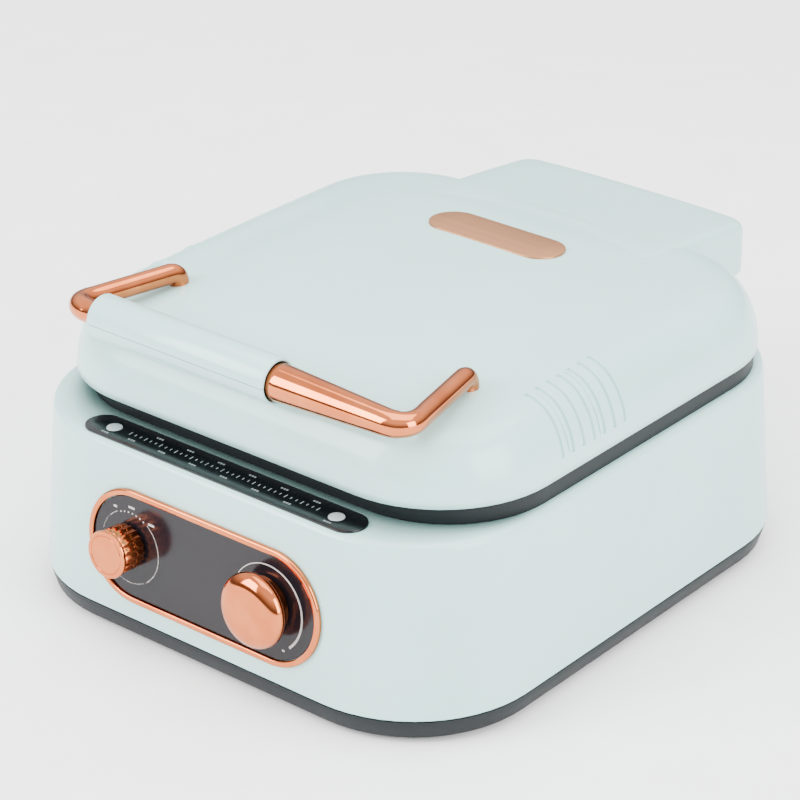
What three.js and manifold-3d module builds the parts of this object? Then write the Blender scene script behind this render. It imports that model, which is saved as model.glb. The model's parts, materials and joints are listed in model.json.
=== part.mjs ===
// A countertop waffle maker: a deep base with two knobs, and a hinged lid with a bar handle.
// Millimetres. X runs left to right, Y front to back, Z up, and the feet stand on z = 0.
// While it is drawn the origin is below the middle of the base; the last lines move the whole
// group so that the origin is below the middle of everything.
import * as THREE from 'three';
import { mergeVertices } from 'three/addons/utils/BufferGeometryUtils.js';
import Module from 'manifold-3d';

const wasm = await Module();
wasm.setup();

// ---------------------------------------------------------------- driving dimensions
const gap = 0.3;                    // air between pieces that touch
const through = 500;                // longer than anything a cutter has to pass through

// base housing
const footHeight = 2.5;
const footRadius = 8;
const trayHeight = 8.5;             // visible height of the dark tray under the housing
const trayInset = 2.3;              // how far the tray narrows towards the table
const trayFloor = 2.5;
const trayWall = 5.2;
const slotPitch = 11;               // cooling slots in the tray's floor
const slotWidth = 5.2;
const slotHalfLength = 35;
const slotsEachSide = 4;
const baseHalfWidth = 117.8;
const baseHalfDepth = 130;
const baseCorner = 55.5;
const housingWall = 2.6;
const housingHeight = 72.6;         // from the tray to the ledge under the lid
const sideLean = 3;                 // degrees, side walls narrow upwards
const frontLean = 4.2;              // degrees, front and rear walls
const ledgeRound = 3;

// dark deck round the lower plate
const deckHalfWidth = baseHalfWidth - 7.3;
const deckFront = -baseHalfDepth + 27.5;
const deckRear = baseHalfDepth - 12;
const deckCorner = baseCorner - 8.5;
const deckHeight = 8.4;             // above the ledge
const deckEdge = 1.2;               // rounding of the deck's upper edge
const skirtInset = 3.6;             // the skirt below the flange is this much narrower
const seatDepth = 6.4;              // from the plate's seat down to the foot of the skirt
const skirtWall = 3;
const wellWall = 2.5;               // wall round the well that holds the plate

// baking plates
const plateHalfWidth = deckHalfWidth - 18.5;
const plateHalfDepth = (deckRear - deckFront) / 2 - 22.25;
const plateCentreY = (deckRear + deckFront) / 2;
const plateCorner = 28;
const plateDepth = 14.4;            // outside height of one plate
const plateWall = 3.5;
const plateFloor = 3;
const studPitch = 19;
const studSize = 12.5;
const studHeight = 6.5;
const studSunk = 0.5;               // how far a stud reaches into the plate's floor
const studRows = 8;
const plateClearance = 0.4;
const lipWidth = 6;                 // ledge that carries a plate
const lipThickness = 3;

// heating elements and reflectors
const heaterRadius = 3.3;
const heaterInset = 26;             // from the plate's edge to the middle of the tube
const heaterBend = 14;
const heaterStep = 6;
const heaterSides = 6;
const heaterTerminalBend = 4.2;
const heaterTerminalX = 14;
const lowerTerminalLength = 24;
const upperTerminalLength = 7.5;
const terminalHole = 3;             // air round a terminal where it passes the reflector
const reflectorThickness = 0.8;
const reflectorInset = 3;
const lowerReflectorDepth = 7.4;
const upperReflectorDepth = 5.2;

// lid
const lidHalfWidth = deckHalfWidth + 2.9;
const lidFront = deckFront - 7.3;
const lidRear = deckRear + 1;
const lidCorner = deckCorner + 4;
const lidWall = 2.6;
const rimGap = 1.1;                 // lid rim above the top of the deck
const lidAir = 11.6;                // from the upper reflector to the top of the lid
// rim to the highest point of the crowned top
const lidRise = plateDepth + lipThickness + upperReflectorDepth + lidAir;
const crownMiddleY = plateCentreY;
const crownDrop = 6.17;             // fall of the crowned top from its middle to the lid's sides
const crownRadius = (lidHalfWidth ** 2 + crownDrop ** 2) / (2 * crownDrop);
const crownInset = 45;              // the crown stands above the shoulders inside this
// how far the crowned surface is drawn from its middle, past the lid's corners
const crownReach = Math.hypot(lidHalfWidth, crownMiddleY - lidFront) + 12;
const shoulder = 27;                // how far the rounded side runs in over the top
const shoulderRise = lidRise - 1.7;
const shoulderSteps = 5;
const ventCount = 7;
const ventPitch = 6.6;
const ventWidth = 2.2;
const ventDepth = 1;
const ventLow = 7;                  // lower end of a groove above the rim
const ventReach = 19.5;             // how far the grooves run in over the shoulder
const ventMiddleY = plateCentreY - 35.75;
const linerThickness = 3.5;
const linerCollar = 3.2;            // the liner's collar stands this far outside the plate
const linerScrewOut = 7;            // liner screws outside the plate's sides
const linerScrewIn = 22;            // and in from its ends
const linerPostHeight = 15.6;

// hinge
const blockHalfWidth = 60.5;
const blockFront = lidRear - 49;    // buried in the lid
const blockRear = lidRear + 37;
const blockCorner = 9;
const blockTop = lidRise - 3.8;     // above the rim, where the block starts to fall away
const blockFallStart = lidRear - 31;
const blockFall = 6.4;              // drop of the block's top to its rear edge
const blockRound = 4;
const hingeY = lidRear + 11;
const hingeAboveDeck = -2;
const lugX = 44;
const lugThickness = 7;
const lugRadius = 6;
const lugReach = 16;                // how far a lug's arm runs in over the deck
const pinRadius = 2.6;
const pinHead = 1.8;                // thickness of a pin's head, and its width past the pin
const pinClearance = 0.25;
const armThickness = 3;
const armHeight = 9;
const sideClearance = 0.6;
const leafHalfWidth = 9;            // flat leaf of a hinge arm, screwed on the liner
const leafThickness = 2;
const leafFront = lidRear - 19;
const leafRear = lidRear - 5.5;

// control panel on the front wall
const panelDrop = 3.63;             // panel's middle below the middle of the front wall
const panelHalfLength = 36.4;       // half the straight part
const panelRadius = 24.45;
const trimWidth = 2.6;
const trimProud = 2;
const trimRound = 0.9;
const faceProud = 0.9;
const faceThickness = 2.4;
const timerX = -panelHalfLength - 2.1;
const thermostatX = panelHalfLength - 2.4;
const knobRise = 0.6;               // knob axes above the panel's middle line
const knobLift = 1;                 // air between a knob and the panel's face
const timerKnobRadius = 9.9;
const timerKnobLength = 12.6;
const timerCapThickness = 1.6;
const fluteCount = 18;
const fluteDepth = 0.7;
const thermostatKnobRadius = 15.4;
const thermostatKnobLength = 12.2;
const thermostatNeck = 0.78;        // radius of the neck, as a share of the knob's
const shaftRadius = 3;
const shaftClearance = 0.35;
const shaftDepth = 11;              // shaft inside the timer or thermostat
const knobSkin = 4.5;               // knob left in front of its shaft
const bracketSetback = 9;           // control bracket behind the outside of the wall
const bracketThickness = 1.2;
const bracketFlange = 2;
const bracketHalfHeight = 15;
const bracketPast = 18;             // bracket past the straight part of the panel
const timerBodySize = 30;
const timerBodyDepth = 26;
const thermostatBodyRadius = 14.5;
const thermostatBodyDepth = 18;

// indicator strip on the front ledge
const stripY = deckFront - 12.4;
const stripHalfLength = baseHalfWidth - baseCorner + 1.3;
const stripRadius = 7.7;
const stripProud = 1;
const stripRound = 0.4;
const lampX = stripHalfLength - 5.7;
const lampRadius = 3.3;
const lampProud = 0.25;             // lens above the strip
const lensDepth = 3;                // lens below the ledge
const holderDepth = 14;
const holderWall = 1.2;

// handle
const barY = lidFront + 1.8;
const armClearance = 0.56;          // air between the arms and the lid where they turn down
const armEndX = lidHalfWidth - 38.4;
const armEndY = lidFront + 51.8;
const armSplay = 11.5;              // the bends stand this much wider than the arms' ends
const barBendX = armEndX + armSplay;
const bendReach = 11;               // where the bar starts to turn, from its corner
const legReach = 5;
const barRadius = 6;
const gripLeft = -barBendX + 18;
const gripLength = 92.5;
const gripRight = gripLeft + gripLength;
const gripRadius = 9.3;
const sleeveRadius = 7.7;           // bar where it leaves the grip on the right
const counterbore = 10;             // grip bored wider for that end of the bar
const bendBarRadius = 5;
const armRadius = 4.3;
const ringThickness = 1.5;          // push-on rings that hold the handle under the lid's top
const ringWidth = 3;
const ringClearance = 0.4;          // under the lid's top, measured at a ring's outer side

// badge on the lid
const badgeY = plateCentreY + 47.45;
const badgeHalfLength = 21.7;
const badgeRadius = 11.5;
const badgeThickness = 1.2;
const badgeProud = 0.4;

// small parts
const screwRadius = 2;
const screwHeadRadius = 3.6;
const screwHeadHeight = 2.2;
const screwGrip = 13;               // thread of a tray screw above the seam
const bossWall = 2.6;
const bossHeight = 24;
const ribThickness = 2;
const ribHeight = 20;
const postInsetX = baseCorner - 22; // screw posts in from the sides and ends of the base
const postInsetY = baseCorner - 20;
const footShare = 0.83;             // feet stand this share of the way out to the screw posts
const bushingX = -baseHalfWidth + baseCorner;
const bushingRise = 19;             // above the seam
const bushingRadius = 6;
const bushingCollar = 2;
const bushingBore = 4;
const bushingInside = 6;
const bushingOutside = 9;
const terminalLength = 40;
const terminalWidth = 16;
const terminalHeight = 16;
const fuseLength = 24;
const fuseRadius = 3.5;

// ---------------------------------------------------------------- heights worked out
const seamZ = footHeight + trayHeight;
const ledgeZ = seamZ + housingHeight;
const deckTopZ = ledgeZ + deckHeight;
const linerLowZ = deckTopZ + gap;
const rimZ = deckTopZ + rimGap;
const lidTopZ = rimZ + lidRise;
const hingeZ = deckTopZ + hingeAboveDeck;
const lowerPlateTopZ = deckTopZ - gap;
const lowerPlateLowZ = lowerPlateTopZ - plateDepth;
const upperPlateLowZ = linerLowZ + gap;
const upperPlateTopZ = upperPlateLowZ + plateDepth;
const lowerLipTopZ = lowerPlateLowZ - gap;
const upperLipLowZ = upperPlateTopZ + gap;
const skirtLowZ = lowerLipTopZ - seatDepth;
const reflectorLowZ = skirtLowZ - gap - lowerReflectorDepth;
const panelZ = seamZ + housingHeight / 2 - panelDrop;
const bushingZ = seamZ + bushingRise;
const barZ = crownZ(armEndX, armEndY) + armRadius + armClearance;
const upperReflectorTopZ = upperLipLowZ + lipThickness + gap + upperReflectorDepth;
const ringTopZ = crownZ(armEndX + armRadius + ringWidth, armEndY) - lidWall - ringClearance;
const ringLowZ = ringTopZ - ringThickness;
const armEndDepth = ringLowZ - gap;

// Height of the lid's slightly spherical top.
function crownZ(x, y) {
  return lidTopZ - crownRadius
    + Math.sqrt(crownRadius ** 2 - x ** 2 - (y - crownMiddleY) ** 2);
}

// ---------------------------------------------------------------- finishes
const finish = (color, roughness, metalness) =>
  new THREE.MeshStandardMaterial({ color, roughness, metalness });
const mint = finish(0xdde9e7, 0.35, 0);
const slate = finish(0x4a5256, 0.5, 0);
const copper = finish(0xd99a78, 0.18, 1);
const copperSatin = finish(0xcba98f, 0.45, 0.7);
const smoke = finish(0x5b585c, 0.12, 0);
const black = finish(0x16191c, 0.1, 0);
const lampWhite = finish(0xe6e4dc, 0.3, 0);
const nonStick = finish(0x2c2d2f, 0.55, 0.2);
const steel = finish(0xb4b6b8, 0.35, 1);
const ceramic = finish(0xe9e5da, 0.7, 0);
const rubber = finish(0x26282a, 0.85, 0);
const bakelite = finish(0x2b2622, 0.5, 0);

// ---------------------------------------------------------------- solids
function toSolid(geometry) {
  const bare = geometry.clone();
  bare.deleteAttribute('normal');
  bare.deleteAttribute('uv');
  const merged = mergeVertices(bare, 1e-4);
  return new wasm.Manifold(new wasm.Mesh({
    numProp: 3,
    vertProperties: new Float32Array(merged.attributes.position.array),
    triVerts: new Uint32Array(merged.index.array),
  }));
}

function toGeometry(solid) {
  const mesh = solid.getMesh();
  const geometry = new THREE.BufferGeometry();
  geometry.setAttribute('position', new THREE.BufferAttribute(mesh.vertProperties, 3));
  geometry.setIndex(new THREE.BufferAttribute(mesh.triVerts, 1));
  geometry.computeVertexNormals();
  return geometry;
}

function block(x0, x1, y0, y1, z0, z1) {
  const geometry = new THREE.BoxGeometry(x1 - x0, y1 - y0, z1 - z0);
  geometry.translate((x0 + x1) / 2, (y0 + y1) / 2, (z0 + z1) / 2);
  return toSolid(geometry);
}

// Everything between two heights.
function slab(z0, z1) {
  return block(-through, through, -through, through, z0, z1);
}

function rodZ(x, y, radius, z0, z1, sides = 16) {
  const geometry = new THREE.CylinderGeometry(radius, radius, z1 - z0, sides);
  geometry.rotateX(Math.PI / 2);
  geometry.translate(x, y, (z0 + z1) / 2);
  return toSolid(geometry);
}

function rodX(x0, x1, y, z, radius, sides = 16) {
  const geometry = new THREE.CylinderGeometry(radius, radius, x1 - x0, sides);
  geometry.rotateZ(Math.PI / 2);
  geometry.translate((x0 + x1) / 2, y, z);
  return toSolid(geometry);
}

function rodY(y0, y1, x, z, radius, sides = 16) {
  const geometry = new THREE.CylinderGeometry(radius, radius, y1 - y0, sides);
  geometry.translate(x, (y0 + y1) / 2, z);
  return toSolid(geometry);
}

function roundedOutline(halfWidth, front, rear, corner) {
  const shape = new THREE.Shape();
  const quarter = Math.PI / 2;
  shape.absarc(halfWidth - corner, front + corner, corner, -quarter, 0);
  shape.absarc(halfWidth - corner, rear - corner, corner, 0, quarter);
  shape.absarc(-halfWidth + corner, rear - corner, corner, quarter, 2 * quarter);
  shape.absarc(-halfWidth + corner, front + corner, corner, 2 * quarter, 3 * quarter);
  return shape;
}

function stadium(halfLength, radius) {
  const shape = new THREE.Shape();
  shape.absarc(halfLength, 0, radius, -Math.PI / 2, Math.PI / 2);
  shape.absarc(-halfLength, 0, radius, Math.PI / 2, 1.5 * Math.PI);
  return shape;
}

// Moves every vertex of a geometry with a function that changes the point it is given.
function reshape(geometry, change) {
  const position = geometry.attributes.position;
  const point = new THREE.Vector3();
  for (let i = 0; i < position.count; i += 1) {
    point.fromBufferAttribute(position, i);
    change(point);
    position.setXYZ(i, point.x, point.y, point.z);
  }
  return geometry;
}

function prismGeometry(shape, z0, z1, curveSegments = 3) {
  const geometry = new THREE.ExtrudeGeometry(shape, {
    depth: z1 - z0, bevelEnabled: false, curveSegments,
  });
  return geometry.translate(0, 0, z0);
}

function prism(shape, z0, z1, curveSegments = 3) {
  return toSolid(prismGeometry(shape, z0, z1, curveSegments));
}

// A prism whose upper edge is an elliptical quarter, `inward` wide and `down` tall.
function domedPrism(shape, z0, z1, inward, down, steps, { curveSegments = 3, change } = {}) {
  const geometry = new THREE.ExtrudeGeometry(shape, {
    depth: z1 - z0,
    bevelEnabled: true,
    bevelThickness: down,
    bevelSize: inward,
    bevelOffset: -inward,
    bevelSegments: steps,
    curveSegments,
  });
  geometry.translate(0, 0, z0 - down);
  if (change) reshape(geometry, change);
  return toSolid(geometry).intersect(slab(z0, z1 + 1));
}

// Narrows the base upwards from the tray seam, as its moulded walls lean.
const sideLeanRate = Math.tan(THREE.MathUtils.degToRad(sideLean)) / baseHalfWidth;
const frontLeanRate = Math.tan(THREE.MathUtils.degToRad(frontLean)) / baseHalfDepth;
function leanWalls(point) {
  const rise = point.z - seamZ;
  point.x *= 1 - sideLeanRate * rise;
  point.y *= 1 - frontLeanRate * rise;
}

function frontWallY(z) {
  return -baseHalfDepth * (1 - frontLeanRate * (z - seamZ));
}

// Path through corner points; each inner corner is rounded, starting its reach away.
function roundedPath(corners, reaches) {
  const path = new THREE.CurvePath();
  let from = corners[0];
  for (let i = 1; i < corners.length - 1; i += 1) {
    const corner = corners[i];
    const reach = reaches[i - 1];
    const back = corners[i - 1].clone().sub(corner).setLength(reach).add(corner);
    const ahead = corners[i + 1].clone().sub(corner).setLength(reach).add(corner);
    path.add(new THREE.LineCurve3(from, back));
    path.add(new THREE.QuadraticBezierCurve3(back, corner, ahead));
    from = ahead;
  }
  path.add(new THREE.LineCurve3(from, corners[corners.length - 1]));
  return path;
}

function circleShape(radius, sides) {
  const points = [];
  for (let i = 0; i < sides; i += 1) {
    const turn = (2 * Math.PI * i) / sides;
    points.push(new THREE.Vector2(radius * Math.cos(turn), radius * Math.sin(turn)));
  }
  return new THREE.Shape(points);
}

function tube(path, radius, steps, sides) {
  return new THREE.ExtrudeGeometry(circleShape(radius, sides), {
    steps, extrudePath: path, bevelEnabled: false,
  });
}

const group = new THREE.Group();
const lid = new THREE.Group();
const panel = new THREE.Group();
group.add(lid, panel);
panel.position.set(0, frontWallY(panelZ), panelZ);
panel.rotation.x = THREE.MathUtils.degToRad(90 - frontLean);
panel.updateMatrix();

function add(parent, name, geometry, material) {
  const mesh = new THREE.Mesh(geometry, material);
  mesh.name = name;
  parent.add(mesh);
  return mesh;
}

function addSolid(parent, name, solid, material) {
  return add(parent, name, toGeometry(solid), material);
}

// ---------------------------------------------------------------- base
function baseOutline(inset) {
  return roundedOutline(
    baseHalfWidth - inset, -baseHalfDepth + inset, baseHalfDepth - inset, baseCorner - inset);
}

function deckOutline(inset) {
  return roundedOutline(
    deckHalfWidth - inset, deckFront + inset, deckRear - inset, deckCorner - inset);
}

function plateOutline(inset, middleY = plateCentreY) {
  return roundedOutline(
    plateHalfWidth - inset,
    middleY - plateHalfDepth + inset,
    middleY + plateHalfDepth - inset,
    plateCorner - inset);
}

const screwPosts = [[-1, -1], [1, -1], [-1, 1], [1, 1]].map(([side, end]) => ({
  name: `${end < 0 ? 'front' : 'rear'}_${side < 0 ? 'left' : 'right'}`,
  x: side * (baseHalfWidth - postInsetX),
  y: end * (baseHalfDepth - postInsetY),
}));

const footSpots = screwPosts.map((post) => ({
  name: post.name,
  x: post.x * footShare,
  y: post.y * footShare,
}));

function makeHousing() {
  const outer = domedPrism(baseOutline(0), seamZ, ledgeZ, ledgeRound, ledgeRound, 2,
    { change: leanWalls });
  const inner = reshape(
    prismGeometry(baseOutline(housingWall), seamZ - 1, ledgeZ - housingWall), leanWalls);
  let housing = outer.subtract(toSolid(inner));
  housing = housing.subtract(
    prism(deckOutline(skirtInset - gap), ledgeZ - 2 * housingWall, ledgeZ + 1));
  const panelHole = prismGeometry(
    stadium(panelHalfLength, panelRadius - trimWidth + gap), -bracketSetback, bracketSetback, 6);
  housing = housing.subtract(toSolid(panelHole.applyMatrix4(panel.matrix)));
  for (const side of [-1, 1]) {
    housing = housing.subtract(
      rodZ(side * lampX, stripY, lampRadius + gap, ledgeZ - 2 * housingWall, ledgeZ + 1));
  }
  housing = housing.subtract(
    rodY(deckRear, baseHalfDepth + 1, bushingX, bushingZ, bushingRadius + gap));
  for (const post of screwPosts) {
    const boss = rodZ(
      post.x, post.y, screwRadius + bossWall, seamZ + gap, seamZ + bossHeight, 12);
    const ribEnd = post.y + Math.sign(post.y) * baseCorner;
    const rib = block(
      post.x - ribThickness / 2, post.x + ribThickness / 2,
      Math.min(post.y, ribEnd), Math.max(post.y, ribEnd), seamZ + gap, seamZ + ribHeight);
    const within = reshape(
      prismGeometry(baseOutline(housingWall / 2), seamZ, seamZ + 2 * bossHeight), leanWalls);
    housing = housing.add(boss.add(rib).intersect(toSolid(within)));
    housing = housing.subtract(
      rodZ(post.x, post.y, screwRadius + gap, seamZ - 1, seamZ + screwGrip + 2, 12));
  }
  addSolid(group, 'base_housing', housing, mint);
}

function makeTray() {
  const rate = trayInset / trayHeight;
  const outer = reshape(prismGeometry(baseOutline(0), footHeight, seamZ - gap), (point) => {
    const down = (seamZ - gap - point.z) * rate;
    point.x *= 1 - down / baseHalfWidth;
    point.y *= 1 - down / baseHalfDepth;
  });
  const inner = prism(baseOutline(trayWall), footHeight + trayFloor, seamZ + 1);
  let tray = toSolid(outer).subtract(inner);
  for (let i = -slotsEachSide; i <= slotsEachSide; i += 1) {
    const x = i * slotPitch;
    tray = tray.subtract(
      block(x - slotWidth / 2, x + slotWidth / 2, -slotHalfLength, slotHalfLength, 0, seamZ));
  }
  for (const post of screwPosts) {
    tray = tray.add(
      rodZ(post.x, post.y, screwHeadRadius + bossWall, footHeight, seamZ - gap, 16));
    tray = tray.subtract(rodZ(post.x, post.y, screwRadius + gap, 0, seamZ + 1, 12));
    tray = tray.subtract(
      rodZ(post.x, post.y, screwHeadRadius + gap, 0, footHeight + screwHeadHeight + gap, 16));
  }
  for (const foot of footSpots) {
    tray = tray.subtract(
      rodZ(foot.x, foot.y, footRadius + gap, 0, footHeight + trayFloor / 2));
  }
  addSolid(group, 'bottom_tray', tray, slate);
}

function makeFeetAndScrews() {
  for (const foot of footSpots) {
    addSolid(group, `foot_${foot.name}`,
      rodZ(foot.x, foot.y, footRadius, 0, footHeight + trayFloor / 2 - gap, 20), rubber);
  }
  for (const post of screwPosts) {
    const head = rodZ(
      post.x, post.y, screwHeadRadius, footHeight + gap, footHeight + screwHeadHeight, 16);
    const stem = rodZ(post.x, post.y, screwRadius, footHeight + 1, seamZ + screwGrip, 12);
    addSolid(group, `tray_screw_${post.name}`, head.add(stem), steel);
  }
}

function makeDeck() {
  const flange = domedPrism(deckOutline(0), ledgeZ + gap, deckTopZ, deckEdge, deckEdge, 2);
  const skirt = prism(deckOutline(skirtInset), skirtLowZ, ledgeZ + 1);
  const well = prism(plateOutline(-plateClearance), lowerLipTopZ, deckTopZ + 1);
  const mouth = prism(plateOutline(lipWidth), skirtLowZ - 1, deckTopZ);
  const hollow = prism(deckOutline(skirtInset + skirtWall), skirtLowZ - 1, ledgeZ - skirtWall)
    .subtract(prism(plateOutline(-plateClearance - wellWall), skirtLowZ - 2, ledgeZ));
  let deck = flange.add(skirt).subtract(well).subtract(mouth).subtract(hollow);
  for (const side of [-1, 1]) {
    const x = side * lugX;
    const half = lugThickness / 2;
    const arm = block(
      x - half, x + half, deckRear - lugReach, hingeY, ledgeZ + 2 * gap, deckTopZ - gap);
    const eye = rodX(x - half, x + half, hingeY, hingeZ, lugRadius);
    deck = deck.add(arm).add(eye);
    deck = deck.subtract(
      rodX(x - half - 1, x + half + 1, hingeY, hingeZ, pinRadius + pinClearance));
  }
  addSolid(group, 'deck_frame', deck, slate);
}

// ---------------------------------------------------------------- baking plates
// Drawn open side up about its own middle; the upper plate is the same casting turned over.
function makeStud(x, y) {
  const stud = new THREE.CylinderGeometry(
    studSize / 2, studSize / Math.SQRT2, studHeight + studSunk, 4, 1);
  stud.rotateY(Math.PI / 4);
  stud.rotateX(Math.PI / 2);
  return toSolid(stud.translate(x, y, plateFloor + (studHeight - studSunk) / 2));
}

function plateCasting() {
  let casting = prism(plateOutline(0, 0), 0, plateDepth)
    .subtract(prism(plateOutline(plateWall, 0), plateFloor, plateDepth + 1));
  const reach = (value, half) => Math.max(
    Math.abs(value) + studSize / 2 - (half - plateCorner), 0);
  const middle = (studRows - 1) / 2;
  for (let row = 0; row < studRows; row += 1) {
    for (let column = 0; column < studRows; column += 1) {
      const x = (column - middle) * studPitch;
      const y = (row - middle) * studPitch;
      const cornerReach = Math.hypot(reach(x, plateHalfWidth), reach(y, plateHalfDepth));
      if (cornerReach < plateCorner - plateWall - 1) casting = casting.add(makeStud(x, y));
    }
  }
  return toGeometry(casting);
}

const heaterRear = plateCentreY + plateHalfDepth - heaterInset;

function heaterPath(z, terminalZ) {
  const w = plateHalfWidth - heaterInset;
  const front = plateCentreY - plateHalfDepth + heaterInset;
  const rear = heaterRear;
  const at = (x, y, height = z) => new THREE.Vector3(x, y, height);
  return roundedPath([
    at(-heaterTerminalX, rear, terminalZ), at(-heaterTerminalX, rear), at(-w, rear),
    at(-w, front), at(w, front), at(w, rear),
    at(heaterTerminalX, rear), at(heaterTerminalX, rear, terminalZ),
  ], [heaterTerminalBend, heaterBend, heaterBend, heaterBend, heaterBend, heaterTerminalBend]);
}

// Short steps keep the tight terminal bends round however long the straight runs are.
function heaterTube(path) {
  return tube(path, heaterRadius, Math.ceil(path.getLength() / heaterStep), heaterSides);
}

function makeLowerHeat() {
  add(group, 'lower_plate', plateCasting(), nonStick)
    .position.set(0, plateCentreY, lowerPlateLowZ);
  const heaterZ = lowerPlateLowZ - gap - heaterRadius;
  add(group, 'lower_heating_element',
    heaterTube(heaterPath(heaterZ, heaterZ - lowerTerminalLength)), steel);
  const pan = prism(plateOutline(reflectorInset), reflectorLowZ, skirtLowZ - gap);
  let reflector = pan.subtract(prism(
    plateOutline(reflectorInset + reflectorThickness), reflectorLowZ + reflectorThickness,
    skirtLowZ));
  for (const x of [-heaterTerminalX, heaterTerminalX]) {
    reflector = reflector.subtract(
      rodZ(x, heaterRear, heaterRadius + terminalHole, reflectorLowZ - 1, ledgeZ, 16));
  }
  addSolid(group, 'lower_reflector', reflector, steel);
}

function makeUpperHeat() {
  const plate = add(lid, 'upper_plate', plateCasting(), nonStick);
  plate.position.set(0, plateCentreY, upperPlateTopZ);
  plate.rotation.x = Math.PI;
  const heaterZ = upperPlateTopZ + gap + heaterRadius;
  add(lid, 'upper_heating_element',
    heaterTube(heaterPath(heaterZ, heaterZ + upperTerminalLength)), steel);
  const low = upperReflectorTopZ - upperReflectorDepth;
  const high = upperReflectorTopZ;
  let reflector = prism(plateOutline(reflectorInset), low, high)
    .subtract(prism(plateOutline(reflectorInset + reflectorThickness), low - 1,
      high - reflectorThickness));
  for (const x of [-heaterTerminalX, heaterTerminalX]) {
    reflector = reflector.subtract(
      rodZ(x, heaterRear, heaterRadius + terminalHole, low, high + 1, 16));
  }
  addSolid(lid, 'upper_reflector', reflector, steel);
}

// ---------------------------------------------------------------- lid
function lidOutline(inset) {
  return roundedOutline(
    lidHalfWidth - inset, lidFront + inset, lidRear - inset, lidCorner - inset);
}

// Everything under the slightly spherical top of the lid, lowered by `inset`.
function crownSolid(inset) {
  const rings = 5;
  const outline = [new THREE.Vector2(0, 0), new THREE.Vector2(crownReach, 0)];
  for (let i = rings; i >= 0; i -= 1) {
    const radius = (crownReach * i) / rings;
    outline.push(new THREE.Vector2(radius, crownZ(radius, crownMiddleY) - inset));
  }
  const geometry = new THREE.LatheGeometry(outline, 24);
  geometry.rotateX(Math.PI / 2);
  return toSolid(geometry.translate(0, crownMiddleY, 0));
}

function lidForm(inset, low, steps) {
  const sides = domedPrism(lidOutline(inset), rimZ, rimZ + shoulderRise - inset,
    shoulder, shoulderRise - inset, steps);
  const middle = prism(lidOutline(inset + crownInset), rimZ, lidTopZ + 2);
  const skirt = prism(lidOutline(inset), low, rimZ + 0.01);
  return sides.add(middle).intersect(crownSolid(inset)).add(skirt);
}

// The block over the hinge: its top falls away towards the rear edge.
function hingeBlock(inset, low) {
  const outline = roundedOutline(
    blockHalfWidth - inset, blockFront, blockRear - inset, blockCorner - inset / 2);
  const change = (point) => {
    const along = Math.max(point.y - blockFallStart, 0) / (blockRear - blockFallStart);
    if (point.z > rimZ + blockTop / 2) point.z -= blockFall * along;
  };
  return domedPrism(outline, low, rimZ + blockTop - inset, blockRound, blockRound, 2, { change });
}

// The badge lies along the crown's slope.
const badgeTilt = -Math.asin((badgeY - crownMiddleY) / crownRadius);

function handleSocket(side) {
  return rodZ(side * armEndX, armEndY, armRadius + gap, armEndDepth, lidTopZ + 1, 14);
}

function ventCutters() {
  let slots = null;
  for (let i = 0; i < ventCount; i += 1) {
    const y = ventMiddleY + (i - (ventCount - 1) / 2) * ventPitch;
    for (const side of [-1, 1]) {
      const outer = side * (lidHalfWidth + 1);
      const inner = side * (lidHalfWidth - ventReach);
      const slot = block(Math.min(outer, inner), Math.max(outer, inner),
        y - ventWidth / 2, y + ventWidth / 2, rimZ + ventLow, lidTopZ);
      slots = slots ? slots.add(slot) : slot;
    }
  }
  return slots.subtract(lidForm(ventDepth, rimZ - 1, shoulderSteps));
}

const linerScrews = [[-1, -1], [1, -1], [-1, 1], [1, 1]].map(([side, end]) => ({
  name: `${end < 0 ? 'front' : 'rear'}_${side < 0 ? 'left' : 'right'}`,
  x: side * (plateHalfWidth + linerScrewOut),
  y: plateCentreY + end * (plateHalfDepth - linerScrewIn),
}));
const linerPostTop = linerLowZ + linerPostHeight;
const linerScrewTop = linerPostTop + screwGrip / 2;

function makeLidCover() {
  const outer = lidForm(0, rimZ, shoulderSteps).add(hingeBlock(0, rimZ));
  const inner = lidForm(lidWall, rimZ - 1, shoulderSteps).add(hingeBlock(lidWall, rimZ - 1));
  let cover = outer.subtract(inner).subtract(ventCutters());
  for (const side of [-1, 1]) {
    cover = cover.subtract(handleSocket(side));
  }
  const badgeSeat = prismGeometry(
    stadium(badgeHalfLength, badgeRadius + gap), badgeProud - badgeThickness - gap, 3, 6);
  cover = cover.subtract(
    toSolid(badgeSeat.rotateX(badgeTilt).translate(0, badgeY, crownZ(0, badgeY))));
  for (const screw of linerScrews) {
    const post = rodZ(screw.x, screw.y, screwRadius + bossWall, linerPostTop + gap, lidTopZ, 12);
    cover = cover.add(post.intersect(lidForm(lidWall / 5, rimZ, shoulderSteps)));
    cover = cover.subtract(
      rodZ(screw.x, screw.y, screwRadius + gap, linerPostTop, linerScrewTop + 2, 12));
  }
  addSolid(lid, 'lid_cover', cover, mint);
}

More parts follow.
